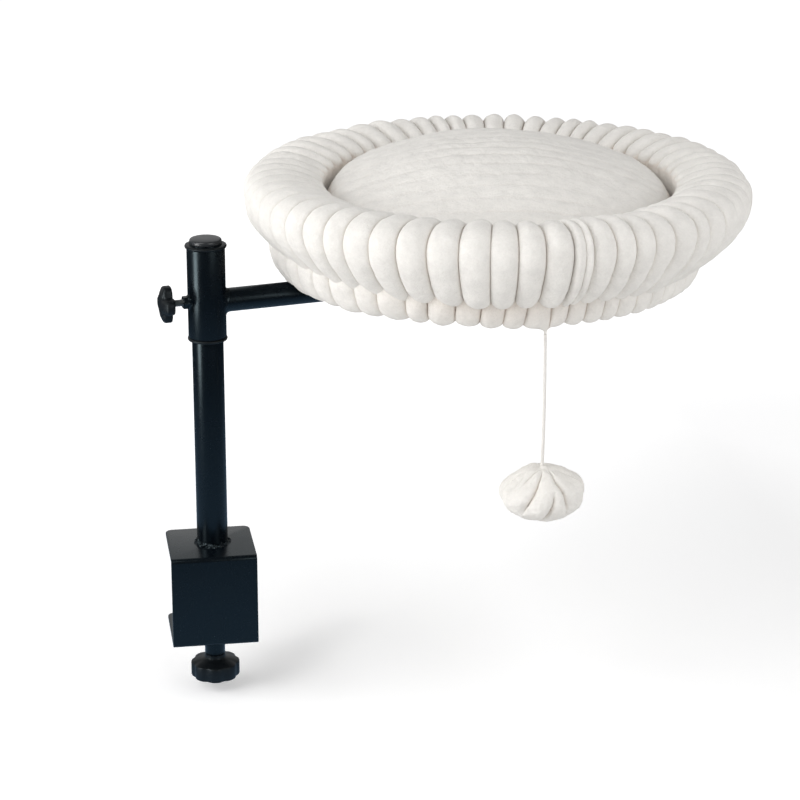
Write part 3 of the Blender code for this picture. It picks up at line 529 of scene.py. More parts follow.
def turned(profile, closed=False, sides=96):
    """A round piece: its profile is drawn point by point, as (radius, height), and spun about Z."""
    clear_selection()
    here = Vector((profile[0][0], 0, profile[0][1]))
    bpy.ops.mesh.primitive_plane_add(size=0.001, location=here)
    piece = bpy.context.object
    into_edit()
    bpy.ops.mesh.merge(type="CENTER")
    for radius, height in list(profile[1:]) + (list(profile[:1]) if closed else []):
        step = Vector((radius, 0, height)) - here
        bpy.ops.mesh.extrude_region_move(TRANSFORM_OT_translate={"value": step})
        here = here + step
    bpy.ops.mesh.select_all(action="SELECT")
    bpy.ops.mesh.remove_doubles(threshold=MERGE_DISTANCE)
    bpy.ops.mesh.spin(steps=sides, angle=math.tau, center=(0, 0, 0), axis=(0, 0, 1))
    close_seams()
    placed(piece, Matrix())
    return piece


def from_grid(name, points, around=True, caps=True):
    """A mesh from rows of points. Around closes each row into a ring, and caps close both ends."""
    rows, columns = points.shape[0], points.shape[1]
    number = np.arange(rows * columns).reshape(rows, columns)
    right = np.roll(number, -1, axis=1)
    last = columns if around else columns - 1
    quads = np.stack([number[:-1], right[:-1], right[1:], number[1:]], axis=-1)[:, :last].reshape(-1, 4)
    faces = quads.tolist()
    if caps:
        faces.append(number[0][::-1].tolist())
        faces.append(number[-1].tolist())
    mesh = bpy.data.meshes.new(name)
    mesh.from_pydata(points.reshape(-1, 3).tolist(), [], faces)
    made = bpy.data.objects.new(name, mesh)
    bpy.context.scene.collection.objects.link(made)
    mesh.update()
    return made


def round_points(radius, angles, height):
    """Points at a radius, an angle and a height, each a number or an array."""
    return np.stack(np.broadcast_arrays(radius * np.cos(angles), radius * np.sin(angles), height), axis=-1)


def store_crease_shade(piece, values):
    """Keeps each point's painted crease shade with the mesh, for the finish, which darkens the plush by it."""
    layer = piece.data.attributes.new("crease_shade", "FLOAT", "POINT")
    layer.data.foreach_set("value", values.reshape(-1))


def tube(radius, wall, low, high, sides=96):
    """A plain round tube along Z."""
    inner = radius - wall
    return turned([(inner, low), (radius, low), (radius, high), (inner, high)], closed=True, sides=sides)


def outwards(piece):
    """Turns the faces of a closed mesh outwards."""
    select_only(piece)
    into_edit()
    close_seams()
    bpy.ops.object.mode_set(mode="OBJECT")


def dressed_copy(node, round_width):
    """A merged copy of a CAD node, with its flat faces joined and its edges rounded."""
    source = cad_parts[node]
    mesh = source.data.copy()
    piece = bpy.data.objects.new(node + "_dressed", mesh)
    bpy.context.scene.collection.objects.link(piece)
    piece.matrix_world = source.matrix_world
    select_only(piece)
    if mesh.has_custom_normals:
        bpy.ops.mesh.customdata_custom_splitnormals_clear()
    into_edit()
    close_seams()
    bpy.ops.mesh.dissolve_limited(angle_limit=math.radians(1))
    bpy.ops.object.mode_set(mode="OBJECT")
    bpy.ops.object.transform_apply(location=True, rotation=True, scale=True)
    round_edges(piece, round_width, 2)
    smooth(piece)
    return piece


def cut_away(piece, tool):
    """Cuts a tool's form out of a piece, and removes the tool."""
    modify(piece, "BOOLEAN", operation="DIFFERENCE", object=tool, solver="EXACT")
    bpy.data.objects.remove(tool)


def bore(piece, radius, low, high, place=None):
    """Cuts a round hole along Z, or along the Z of a place."""
    clear_selection()
    bpy.ops.mesh.primitive_cylinder_add(
        vertices=48, radius=radius, depth=high - low, location=(0, 0, (high + low) / 2)
    )
    bit = bpy.context.object
    if place:
        placed(bit, place)
    cut_away(piece, bit)


def fillet(radius, width, height, rest, seed, power=1.5, lump=0.18, ripple=0.0021):
    """A closed weld bead round a tube along Z: a hollow curve from the surface that it rests on up the tube.

    rest gives that surface's height at a radius and an angle. The ripples follow each other round the bead.
    """
    count = 180
    angles = np.arange(count) / count * math.tau
    ripples = round(math.tau * radius / ripple)
    rows = []
    for share in np.linspace(0, 1, 9):
        bow = 0.35 * math.sin(math.pi * share)
        phase = (angles / math.tau * ripples + bow) % 1
        shift = Vector((seed, 0, 0))
        spots = [Vector((math.cos(a), math.sin(a), share * 0.4)) * radius * 330 + shift for a in angles]
        wave = np.array([noise.noise(spot) for spot in spots])
        swell = 1 + lump * (np.sqrt(phase) - 0.6 + 2.2 * wave)
        reach = radius + width * swell * (1 - share) ** power
        level = rest(reach, angles) + height * swell * share**power
        rows.append(round_points(reach, angles, level))
    for sink in (0.0006, 0.0012):
        reach = np.full_like(angles, radius - sink)
        low = rest(reach, angles) - 0.0008 + (height if sink < 0.001 else 0)
        rows.append(round_points(reach, angles, low))
    rows.append(rows[0])
    piece = from_grid("weld", np.array(rows), around=True, caps=False)
    outwards(piece)
    smooth(piece, 60)
    return piece


def on_plate(reach, angles):
    """Height of a flat plate, for a tube that stands on it along Z."""
    return np.zeros_like(reach * angles)


def on_sleeve(reach, angles):
    """Height of the sleeve's round side above its axis, for a tube that leaves it along Z."""
    return np.sqrt(SLEEVE_RADIUS**2 - (reach * np.sin(angles)) ** 2)


def threads(radius, pitch, low, high, sides=36, depth_share=0.55):
    """A single-start thread as rows of rings, with both ends chamfered."""
    rows = int((high - low) / pitch * 5) + 1
    heights = np.linspace(low, high, rows)
    angles = np.arange(sides) / sides * math.tau
    turn = (heights[:, None] / pitch - angles[None, :] / math.tau) % 1
    flank = np.clip(np.abs(turn * 2 - 1) * 1.25 - 0.12, 0, 1)
    reach = radius - depth_share * pitch * flank
    chamfer = radius - pitch * depth_share - 0.0002
    ease = np.minimum(heights - low, high - heights)[:, None]
    reach = np.minimum(reach, chamfer + ease)
    piece = from_grid("thread", round_points(reach, angles, heights[:, None]))
    smooth(piece, 50)
    return piece


# The photograph's camera, floor and light


class PERCH_OT_stage(bpy.types.Operator):
    """Sets up the camera, the floor, the lamps and the sky."""

    bl_idname = "perch.stage"
    bl_label = "Camera, floor and light"

    def execute(self, context):
        turn = Matrix.Rotation(CAMERA_PAN, 4, "Z")
        data = bpy.data.cameras.new("photo_camera")
        data.sensor_width = CAMERA_SENSOR
        data.lens = CAMERA_LENS
        data.clip_start = 0.05
        data.clip_end = 30
        camera = bpy.data.objects.new("photo_camera", data)
        context.scene.collection.objects.link(camera)
        tilt = Matrix.Rotation(CAMERA_TILT, 4, "X") @ Matrix.Rotation(CAMERA_ROLL, 4, "Z")
        camera.matrix_world = Matrix.Translation(turn @ Vector(CAMERA_PLACE)) @ turn @ tilt
        context.scene.camera = camera
        context.scene.view_settings.view_transform = "Standard"
        self.floor()
        self.sky(context)
        bed = (0.12, 0, 0.15)
        post = (0, 0, 0.16)
        # Azimuth and elevation in degrees, distance, width and height in metres, and watts
        self.lamp(context, "key_softbox", bed, 225, 43, 2.2, 0.9, 0.9, 8)
        self.lamp(context, "left_softbox", bed, 188, 19, 2.2, 2.2, 1.2, 31, glossy=False)
        self.lamp(context, "right_front_softbox", bed, -58, 17, 2.1, 1.1, 0.9, 6.8)
        self.lamp(context, "right_fill", bed, -12, 25, 2.0, 1.4, 1.4, 6.6, glossy=False)
        self.lamp(context, "streak_panel", post, 201, 2, 0.62, 0.24, 0.40, 2.0, diffuse=False)
        return {"FINISHED"}

    def lamp(self, context, name, target, azimuth, elevation, distance, width, height, power, **rays):
        """A softbox that looks at a target from an azimuth and an elevation in degrees."""
        data = bpy.data.lights.new(name, "AREA")
        data.shape = "RECTANGLE"
        data.size = width
        data.size_y = height
        data.energy = power
        lamp = bpy.data.objects.new(name, data)
        turn = math.radians(azimuth)
        rise = math.radians(elevation)
        away = Vector((math.cos(turn) * math.cos(rise), math.sin(turn) * math.cos(rise), math.sin(rise)))
        lamp.location = Vector(target) + away * distance
        lamp.rotation_euler = (-away).to_track_quat("-Z", "Y").to_euler()
        lamp.visible_glossy = rays.get("glossy", True)
        lamp.visible_diffuse = rays.get("diffuse", True)
        context.scene.collection.objects.link(lamp)

    def floor(self):
        """A pale floor that keeps a faint shadow: lit as matt white, and brightened only for the camera, with painted
        shadow round the clamp and painted grey shade at the right.
        """
        clear_selection()
        bpy.ops.mesh.primitive_plane_add(size=9, location=(0, 1.0, FLOOR_HEIGHT))
        floor = bpy.context.object
        floor.name = "floor"
        made, tree, shader = new_finish("floor_white")
        shader.inputs["Base Color"].default_value = (0.82, 0.82, 0.82, 1)
        shader.inputs["Roughness"].default_value = 1
        shader.inputs["Specular IOR Level"].default_value = 0
        ray = add(tree, "ShaderNodeLightPath")
        place = add(tree, "ShaderNodeTexCoord")
        # To the camera: painted shadow, darkest close in front, paler outwards, a little greyer at the right as
        # painted shade, and a painted dark shadow core
        ovals = []
        for spot, turn, scale in (FLOOR_SHADE_OVAL, FLOOR_SHADOW_CORE):
            settings = {"vector_type": "TEXTURE", "Location": spot, "Rotation": (0, 0, turn), "Scale": scale}
            oval = add(tree, "ShaderNodeMapping", settings, {"Vector": (place, "Object")})
            ovals.append(add(tree, "ShaderNodeVectorMath", {"operation": "LENGTH"}, {0: (oval, 0)}))
        spread, shadow_core_reach = ovals
        rise = add(
            tree,
            "ShaderNodeMapRange",
            {"From Min": 0, "From Max": 0.785, "To Min": 0.120, "To Max": 0.554},
            {"Value": (spread, "Value")},
        )
        sides = add(tree, "ShaderNodeSeparateXYZ", {}, {0: (place, "Object")})
        fall = add(
            tree,
            "ShaderNodeMapRange",
            {"From Min": 0.301, "From Max": 0.602, "To Min": 0, "To Max": 0.258},
            {"Value": (sides, "X")},
        )
        back = add(
            tree,
            "ShaderNodeMapRange",
            {"From Min": 0.8, "From Max": 1.5, "To Min": 0, "To Max": 0.258},
            {"Value": (sides, "X")},
        )
        nearer = add(
            tree,
            "ShaderNodeMapRange",
            {"interpolation_type": "SMOOTHSTEP", "From Min": -0.40, "From Max": 0.10, "To Min": 1, "To Max": 0},
            {"Value": (sides, "Y")},
        )
        right_grey_shade = add(tree, "ShaderNodeMath", {"operation": "SUBTRACT"}, {0: (fall, 0), 1: (back, 0)})
        right_shade = add(tree, "ShaderNodeMath", {"operation": "MULTIPLY"}, {0: (right_grey_shade, 0), 1: (nearer, 0)})
        plain = add(tree, "ShaderNodeMath", {"operation": "SUBTRACT"}, {0: (rise, 0), 1: (right_shade, 0)})
        dip = add(
            tree,
            "ShaderNodeMapRange",
            {"interpolation_type": "SMOOTHSTEP", "From Min": 0, "From Max": 0.085, "To Min": 0.11, "To Max": 0},
            {"Value": (shadow_core_reach, "Value")},
        )
        lift = add(tree, "ShaderNodeMath", {"operation": "SUBTRACT"}, {0: (plain, 0), 1: (dip, 0)})
        glow = add(tree, "ShaderNodeEmission", {"Color": (1, 1, 1, 1)}, {"Strength": (lift, 0)})
        dim = add(tree, "ShaderNodeBsdfDiffuse", {"Color": (0.95, 0.95, 0.955, 1)})
        seen = add(tree, "ShaderNodeAddShader", {}, {0: (glow, 0), 1: (dim, 0)})
        # In a reflection: a painted reflection, a cool glow in place of the floor that fades with the distance
        reach = add(tree, "ShaderNodeVectorMath", {"operation": "DISTANCE", 1: (0, -1.0, 0)}, {0: (place, "Object")})
        reflection_fade = add(
            tree,
            "ShaderNodeMapRange",
            {"From Min": 0.15, "From Max": 1.0, "To Min": 0.36, "To Max": 0.04},
            {"Value": (reach, "Value")},
        )
        painted_reflection = add(tree, "ShaderNodeEmission", {"Color": (0.62, 0.95, 1.35, 1)}, {"Strength": (reflection_fade, 0)})
        first = add(tree, "ShaderNodeMixShader", {}, {0: (ray, "Is Glossy Ray"), 1: (shader, 0), 2: (painted_reflection, 0)})
        mix = add(tree, "ShaderNodeMixShader", {}, {0: (ray, "Is Camera Ray"), 1: (first, 0), 2: (seen, 0)})
        tree.links.new(mix.outputs[0], tree.nodes["Material Output"].inputs["Surface"])
        floor.data.materials.append(made)

    def sky(self, context):
        """White to the camera. For the light and the gloss it is grey, and dimmer towards the camera's side."""
        world = bpy.data.worlds.new("studio")
        world.use_nodes = True
        context.scene.world = world
        tree = world.node_tree
        background = tree.nodes["Background"]
        place = add(tree, "ShaderNodeTexCoord")
        parts = add(tree, "ShaderNodeSeparateXYZ", {}, {0: (place, "Generated")})
        level = add(
            tree,
            "ShaderNodeMapRange",
            {"From Min": 0.1, "From Max": 0.75, "To Min": 0.05, "To Max": 0.60},
            {"Value": (parts, "Y")},
        )
        ray = add(tree, "ShaderNodeLightPath")
        plain = add(
            tree, "ShaderNodeMix", {"data_type": "FLOAT", 2: 0.48}, {0: (ray, "Is Glossy Ray"), 3: (level, 0)}
        )
        strength = add(
            tree, "ShaderNodeMix", {"data_type": "FLOAT", 3: 1.0}, {0: (ray, "Is Camera Ray"), 2: (plain, 0)}
        )
        tree.links.new(strength.outputs[0], background.inputs["Strength"])
        background.inputs["Color"].default_value = (1, 1, 1, 1)


# Soft pieces


def rib_edges(runs, seed):
    """All rib edges of a ring, in radians: each measured run, and then a number of nearly even ribs."""
    edges = []
    stops = [run[0] for run, _ in runs[1:]] + [runs[0][0][0] + 360]
    for (run, count), stop in zip(runs, stops):
        edges += run
        last = run[-1]
        step = (stop - last) / count
        for i in range(1, count):
            wander = noise.noise(Vector((seed + i * 1.7, last * 0.3, 0))) * 0.22
            edges.append(last + step * (i + wander))
    return np.radians(np.array(edges))


def rib_columns(edges, per_rib):
    """Angles of the columns round a ring, their share across their rib (0 to 1), and their rib's number."""
    angles, shares, ribs = [], [], []
    stops = np.append(edges[1:], edges[0] + math.tau)
    for number, (start, stop) in enumerate(zip(edges, stops)):
        for k in range(per_rib):
            share = (1 - math.cos(math.pi * k / per_rib)) / 2
            angles.append(start + (stop - start) * share)
            shares.append(share)
            ribs.append(number)
    return np.array(angles), np.array(shares), np.array(ribs)


def section_frame(points):
    """Unit outward normals of an open section that runs anticlockwise, and the length run along it."""
    ahead = np.gradient(points, axis=0)
    ahead /= np.linalg.norm(ahead, axis=1, keepdims=True)
    normal = np.stack([ahead[:, 1], -ahead[:, 0]], axis=1)
    lengths = np.linalg.norm(np.diff(points, axis=0), axis=1)
    return normal, np.concatenate([[0], np.cumsum(lengths)])


def noise_field(points, scale, seed):
    """Blender's own noise at each point, for soft unevenness."""
    shift = Vector((seed, seed * 0.37, seed * 0.71))
    return np.array([noise.noise(Vector(p) * scale + shift) for p in points.reshape(-1, 3)]).reshape(points.shape[:-1])


def ring_point(angle):
    """A point of the big ring's leaning oval, which is fuller below its widest place."""
    rise = np.where(np.sin(angle) > 0, RING_HALF_HEIGHT, RING_DROP) * np.sin(angle)
    across = np.where(np.sin(angle) > 0, np.cos(angle), np.abs(np.cos(angle)) ** 0.75)
    radius = RING_RADIUS + RING_HALF_WIDTH * across + RING_LEAN * RING_HALF_HEIGHT * np.sin(angle)
    return np.stack([radius, RING_HEIGHT + rise], axis=-1)


def softness(angles, sides):
    """How deep the seams are round the bed, as a share, where each side is (degrees, half width, loss)."""
    share = np.ones_like(angles)
    for middle, spread, loss in sides:
        off = (np.degrees(angles) - middle + 180) % 360 - 180
        share = share - loss * np.exp(-((off / spread) ** 2))
    return share


def puffed_ring(section, closing, edges, per_rib, puffs, ends, seed, wobble, sides):
    """A ring of stuffed ribs.

    The section is the line along a rib's crest, as (radius, height). Each rib is round across, sinks at its
    seams by a depth that goes from the first of the puffs to the last, and has two rounded ends of the given
    lengths. The closing points run back along the hidden side. At the sides of the bed the seams are shallower.
    """
    angles, shares, ribs = rib_columns(edges, per_rib)
    normal, run = section_frame(section)
    total = run[-1]
    count = len(edges)
    rand = np.random.default_rng(seed)
    height = 1 + wobble * rand.uniform(-1, 1, count)
    tilt = 0.10 * rand.uniform(-1, 1, count)
    first_end = ends[0] * (1 + 0.2 * rand.uniform(-1, 1, count))
    last_end = ends[1] * (1 + 0.2 * rand.uniform(-1, 1, count))
    deep = np.interp(run / total, np.linspace(0, 1, len(puffs)), puffs)
    widths = np.diff(np.append(edges, edges[0] + math.tau))
    pinched = np.maximum(widths, np.roll(widths, 1)) < math.radians(3.2)
    seam = np.where(pinched, 0.4, 1 + 0.16 * rand.uniform(-1, 1, count))
    share = softness(angles, sides) * ((1 - shares) * seam[ribs] + shares * np.roll(seam, -1)[ribs])
    rows = []
    crease_shades = []
    across = 2 * shares - 1
    for i in range(len(section)):
        starting = np.clip(1 - run[i] / first_end[ribs], 0, 1)
        stopping = np.clip(1 - (total - run[i]) / last_end[ribs], 0, 1)
        end = np.maximum(starting, stopping)
        full = np.abs(across + tilt[ribs] * (1 - across**2)) ** 1.85
        rise = np.sqrt(np.clip(1 - full - end**2.1, 0, 1)) * height[ribs]
        depth = deep[i] * (1 - rise) * share
        radius = section[i, 0] - normal[i, 0] * depth
        level = section[i, 1] - normal[i, 1] * depth
        rows.append(round_points(radius, angles, level))
        # Painted shade: the plush is painted darker where the rib sinks into its seam, and less where the seams are
        # shallower
        crease_shades.append(np.clip(1 - rise * 2.2, 0, 1) ** 1.5 * share)
    for radius, level in closing:
        rows.append(round_points(radius, angles, level))
        crease_shades.append(np.zeros_like(angles))
    grid = np.stack(rows, axis=0)
    crease_shade = np.stack(crease_shades, axis=0)
    visible = len(section)
    soft = noise_field(grid[:visible], 28, seed) * 0.0016 + noise_field(grid[:visible], 95, seed + 5) * 0.0006
    soft += noise_field(grid[:visible], 330, seed + 9) * 0.00022
    fade = np.minimum(1, np.minimum(run, total - run) / 0.006)[:, None]
    grid[:visible] += round_points(soft * fade * normal[:, 0:1], angles, soft * fade * normal[:, 1:2])
    return grid, crease_shade


def ring_mesh(name, grid, crease_shade):
    """Closes the rows into a tube round the bed, and keeps the painted crease shade for the finish."""
    closed = np.concatenate([grid, grid[:1]], axis=0)
    tubes = from_grid(name, closed, around=True, caps=False)
    store_crease_shade(tubes, np.concatenate([crease_shade, crease_shade[:1]], axis=0))
    outwards(tubes)
    select_only(tubes)
    bpy.ops.object.shade_smooth()
    return tubes


def over_arm(grid):
    """Lifts the points of the bed frame's mesh that the arm would pass through, into an arch over it."""
    reach = ARM_RADIUS + 0.0010
    side = np.abs(grid[..., 1])
    arch = np.sqrt(np.clip(reach**2 - side**2, 0, None))
    near = (grid[..., 0] < 0) & (side < reach)
    grid[..., 2] = np.where(near, np.maximum(grid[..., 2], arch), grid[..., 2])
    return grid


class PERCH_OT_toy(bpy.types.Operator):
    """Makes the knot, the twisted cord and the gathered plush ball."""

    bl_idname = "perch.toy"
    bl_label = "Hanging toy"

    def execute(self, context):
        sizes = context.scene.perch_sizes
        self.cord(context, sizes)
        self.ball(context, sizes)
        return {"FINISHED"}

    def cord(self, context, sizes):
        """Three strands laid round each other, hanging straight down from the knot into the ball."""
        steps = 150
        around = 24
        heights = np.linspace(CORD_TOP, CORD_BOTTOM, steps)
        angles = np.arange(around) / around * math.tau
        lay = (CORD_TOP - heights) / CORD_LAY * math.tau
        radius = sizes.cord_width / 2 * (0.91 + 0.09 * np.abs(np.cos(1.5 * (angles[None, :] + lay[:, None]))) ** 0.6)
        sway = np.sin((CORD_TOP - heights) / (CORD_TOP - CORD_BOTTOM) * math.pi) * 0.0006
        grid = round_points(radius, angles, heights[:, None])
        grid[..., 0] += KNOT[0] + sway[:, None]
        grid[..., 1] += KNOT[1]
        cord = from_grid("toy_cord_laid", grid)
        outwards(cord)
        smooth(cord, 70)
        dress(context, cord, "toy_cord_laid", "off_white_cord", "toy", ["toy_cord"])
        profile = [(0, 0.0019), (0.0010, 0.0016), (0.00135, 0.0006)]
        knot = turned(profile + [(0.00135, -0.0006), (0.0012, -0.0017), (0, -0.0019)], sides=20)
        placed(knot, Matrix.Translation(KNOT))
        smooth(knot, 80)
        dress(context, knot, "cord_knot_tied", "off_white_cord", "toy_knot", ["cord_knot"])
        path = [(KNOT[0] + sway[i], KNOT[1], heights[i]) for i in range(0, steps, 8)]
        path.append((KNOT[0], KNOT[1], CORD_BOTTOM))

    def ball(self, context, sizes):
        """A gathered ball: a few broad lobes fan out from the collar, with the folds of the photograph between."""
        share, reach, level = np.array(BALL_PROFILE).T
        fine = np.linspace(0, 1, 100)
        radius = np.interp(fine, share, reach) * BALL_RADIUS
        height = np.interp(fine, share, level)
        for _ in range(5):
            radius[1:-1] = (radius[:-2] + 2 * radius[1:-1] + radius[2:]) / 4
            height[1:-1] = (height[:-2] + 2 * height[1:-1] + height[2:]) / 4
        height = np.where(height > 0, height * BALL_RISE, height * BALL_DROP)
        aside = np.interp(height / BALL_DROP, *BALL_LEAN)
        around = 300
        angles = np.arange(around) / around * 360 - 180
        sink = np.zeros((len(fine), around))
        for depth, width, points in BALL_FOLDS:
            at, where = np.array(points).T
            line = np.interp(fine, at, where)
            line -= np.degrees(aside / np.maximum(radius, 0.012)) * np.cos(np.radians(line))
            inside = (fine >= at[0]) & (fine <= at[-1])
            along = np.clip((fine - at[0]) / (at[-1] - at[0]), 0, 1)
            strength = np.where(inside, np.sin(math.pi * along) ** 0.6, 0) * depth * sizes.ball_puff
            off = (angles[None, :] - line[:, None] + 180) % 360 - 180
            near = np.clip(1 - np.abs(off) / width, 0, 1)
            valley = 1 - np.sqrt(1 - near**2)
            sink = np.maximum(sink, strength[:, None] * (0.75 * valley + 0.25 * near**3))
        turn = np.radians(angles + BALL_FACING)
        out = np.maximum(radius[:, None] - sink, 0.0005)
        grid = round_points(out, turn, height[:, None])
        grid[..., 2] -= sink * np.clip(height[:, None] / BALL_RISE, -1, 1) * 0.5
        away = np.clip((radius / BALL_RADIUS - 0.1) * 3, 0, 1)[:, None, None]
        soft = noise_field(grid, 38, 21) * 0.0024 + noise_field(grid, 110, 23) * 0.0010
        soft += noise_field(grid, 420, 25) * 0.0004
        grid *= 1 + soft[..., None] * away / 0.030
        grid += aside[:, None, None] * np.array(BALL_ASIDE)
        grid += np.array((KNOT[0], KNOT[1], BALL_EQUATOR))
        ball = from_grid("toy_ball_gathered", grid)
        # Painted shade: the ball's fold valleys are painted darker by their depth
        store_crease_shade(ball, 0.7 * np.clip(sink / sizes.ball_puff * 1.3 - 0.45, 0, 1) ** 1.2)
        outwards(ball)
        bpy.ops.object.shade_smooth()
        dress(context, ball, "toy_ball_gathered", "off_white_plush", "toy", ["toy_pompom"])


class PERCH_OT_ring(bpy.types.Operator):
    """Makes the big ribbed ring."""

    bl_idname = "perch.ring"
    bl_label = "Ribbed ring"

    def execute(self, context):
        sizes = context.scene.perch_sizes
        steps = np.linspace(0, 1, 68)
        eased = steps - 0.05 * np.sin(2 * math.pi * steps)
        angle = np.radians(RING_FOOT + (RING_LIP - RING_FOOT) * eased)
        section = ring_point(angle)
        foot, lip = section[0], section[-1]
        edges = rib_edges(((RING_FRONT, 19), (RING_BACK, 18)), 3)
        under = foot[1] + 0.004
        closing = [(WALL_RADIUS, level) for level in (lip[1] - 0.012, (under + lip[1]) / 2, under + 0.002)]
        closing += [(WALL_RADIUS + 0.002, under), (foot[0] - 0.010, under)]
        per_rib = 18
        puffs = sizes.ring_puff * np.array((1.0, 1.1, 1.0, 0.9, 0.8))
        grid, crease_shade = puffed_ring(
            section, closing, edges, per_rib, puffs, ends=(0.011, 0.013), seed=11, wobble=0.05, sides=RING_SOFT_SIDES
        )
        around = np.arctan2(grid[..., 1], grid[..., 0])
        low = np.clip((RING_HEIGHT - grid[..., 2]) / 0.034, 0, 1)
        out = np.clip((np.hypot(grid[..., 0], grid[..., 1]) - WALL_RADIUS) / 0.03, 0, 1)
        right = 1 - softness(around, ((-28, 26, 1),))
        front = 1 - softness(around, ((-100, 38, 1),))
        left = 1 - softness(around, ((-165, 30, 1),))
        # The ring leans towards the post, is pulled in low at both sides, and hangs over at the front
        shift = 0.0022 * np.cos(around - math.radians(187)) - low * (0.0050 * right + 0.0045 * left)
        shift += 0.0065 * low**1.5 * front
        shift *= out
        grid[..., 0] += shift * np.cos(around)
        grid[..., 1] += shift * np.sin(around)
        # Two groups of ribs end a little higher than the others
        lift = 1 - softness(around, ((-114, 17, 0.0034), (-80, 6, 0.0030)))
        grid[..., 2] += low**1.5 * lift * out
        ring = ring_mesh("bolster_ribbed", grid, crease_shade)
        placed(ring, Matrix.Translation((BED_CENTRE.x, BED_CENTRE.y, 0)))
        dress(context, ring, "bolster_ribbed", "off_white_plush", "arm", ["bolster_ring"])
        return {"FINISHED"}


class PERCH_OT_tier(bpy.types.Operator):
    """Makes the lower ribbed tier, which hangs a little towards the post."""

    bl_idname = "perch.tier"
    bl_label = "Lower tier"

    def execute(self, context):
        sizes = context.scene.perch_sizes
        angle = np.radians(np.linspace(-165, 38, 46))
        across = TIER_RADIUS + TIER_HALF_WIDTH * np.cos(angle)
        section = np.stack([across, TIER_HEIGHT + TIER_HALF_HEIGHT * np.sin(angle)], axis=-1)
        edges = rib_edges(((TIER_FRONT, 47),), 8)
        top = section[-1]
        closing = [
            (top[0] - 0.008, top[1] - 0.001),
            (WALL_RADIUS + 0.004, top[1] - 0.004),
            (WALL_RADIUS, top[1] - 0.012),
        ]
        per_rib = 14
        puffs = sizes.tier_puff * np.array((0.62, 0.62, 1.1, 1.0))
        grid, crease_shade = puffed_ring(
            section, closing, edges, per_rib, puffs, ends=(0.012, 0.001), seed=31, wobble=0.07, sides=TIER_SOFT_SIDES
        )
        radius = np.hypot(grid[..., 0], grid[..., 1])
        away = np.clip((radius - WALL_RADIUS) / (TIER_RADIUS + TIER_HALF_WIDTH - WALL_RADIUS), 0, 1.2)
        around = np.arctan2(grid[..., 1], grid[..., 0])
        # The whole tier hangs back and towards the post, and its upper part bulges at the left
        shift = 0.0122 * np.cos(around - math.radians(152)) * away
        left = 1 - softness(around, ((-165, 30, 1),))
        shift += 0.0022 * left * np.clip((grid[..., 2] - TIER_HEIGHT + 0.010) / 0.020, 0, 1)
        # The front's seams slant, and their plush under the ring's overhang gets painted shade
        front = 1 - softness(around, ((-100, 26, 1),))
        slant = 0.015 * front * (grid[..., 2] - TIER_HEIGHT) / 0.020
        grid[..., 0] = radius * np.cos(around + slant) + shift * np.cos(around)
        grid[..., 1] = radius * np.sin(around + slant) + shift * np.sin(around)
        # Painted shade on the tier's upper front, under the ring
        crease_shade += 0.75 * np.clip((grid[..., 2] - TIER_HEIGHT + 0.026) / 0.030, 0, 1) * front
        low = np.clip((TIER_HEIGHT - grid[..., 2]) / 0.022, 0, 1)
        grid[..., 2] += low * (1 - softness(around, ((-122, 20, 0.0022),)))
        # The arm passes through the tier, in the arm's own frame
        turn = np.array(Matrix.Rotation(-ARM_TURN, 3, "Z"))
        local = grid @ turn.T
        local[..., 2] -= ARM_HEIGHT
        local = over_arm(local)
        local[..., 2] += ARM_HEIGHT
        grid = local @ turn
        # The cord pulls the rim down to the knot
        knot = Vector(KNOT) - BED_CENTRE
        off = np.hypot(grid[..., 0] - knot.x, grid[..., 1] - knot.y)
        near = np.exp(-((off / 0.0045) ** 2)) * (grid[..., 2] < TIER_HEIGHT - 0.010)
        grid[..., 2] -= near * np.clip(grid[..., 2] - KNOT[2], 0, None)
        tier = ring_mesh("tier_ribbed", grid, crease_shade)
        placed(tier, Matrix.Translation((BED_CENTRE.x, BED_CENTRE.y, 0)))
        dress(context, tier, "tier_ribbed", "off_white_plush", "arm", ["base_rim"])
        return {"FINISHED"}


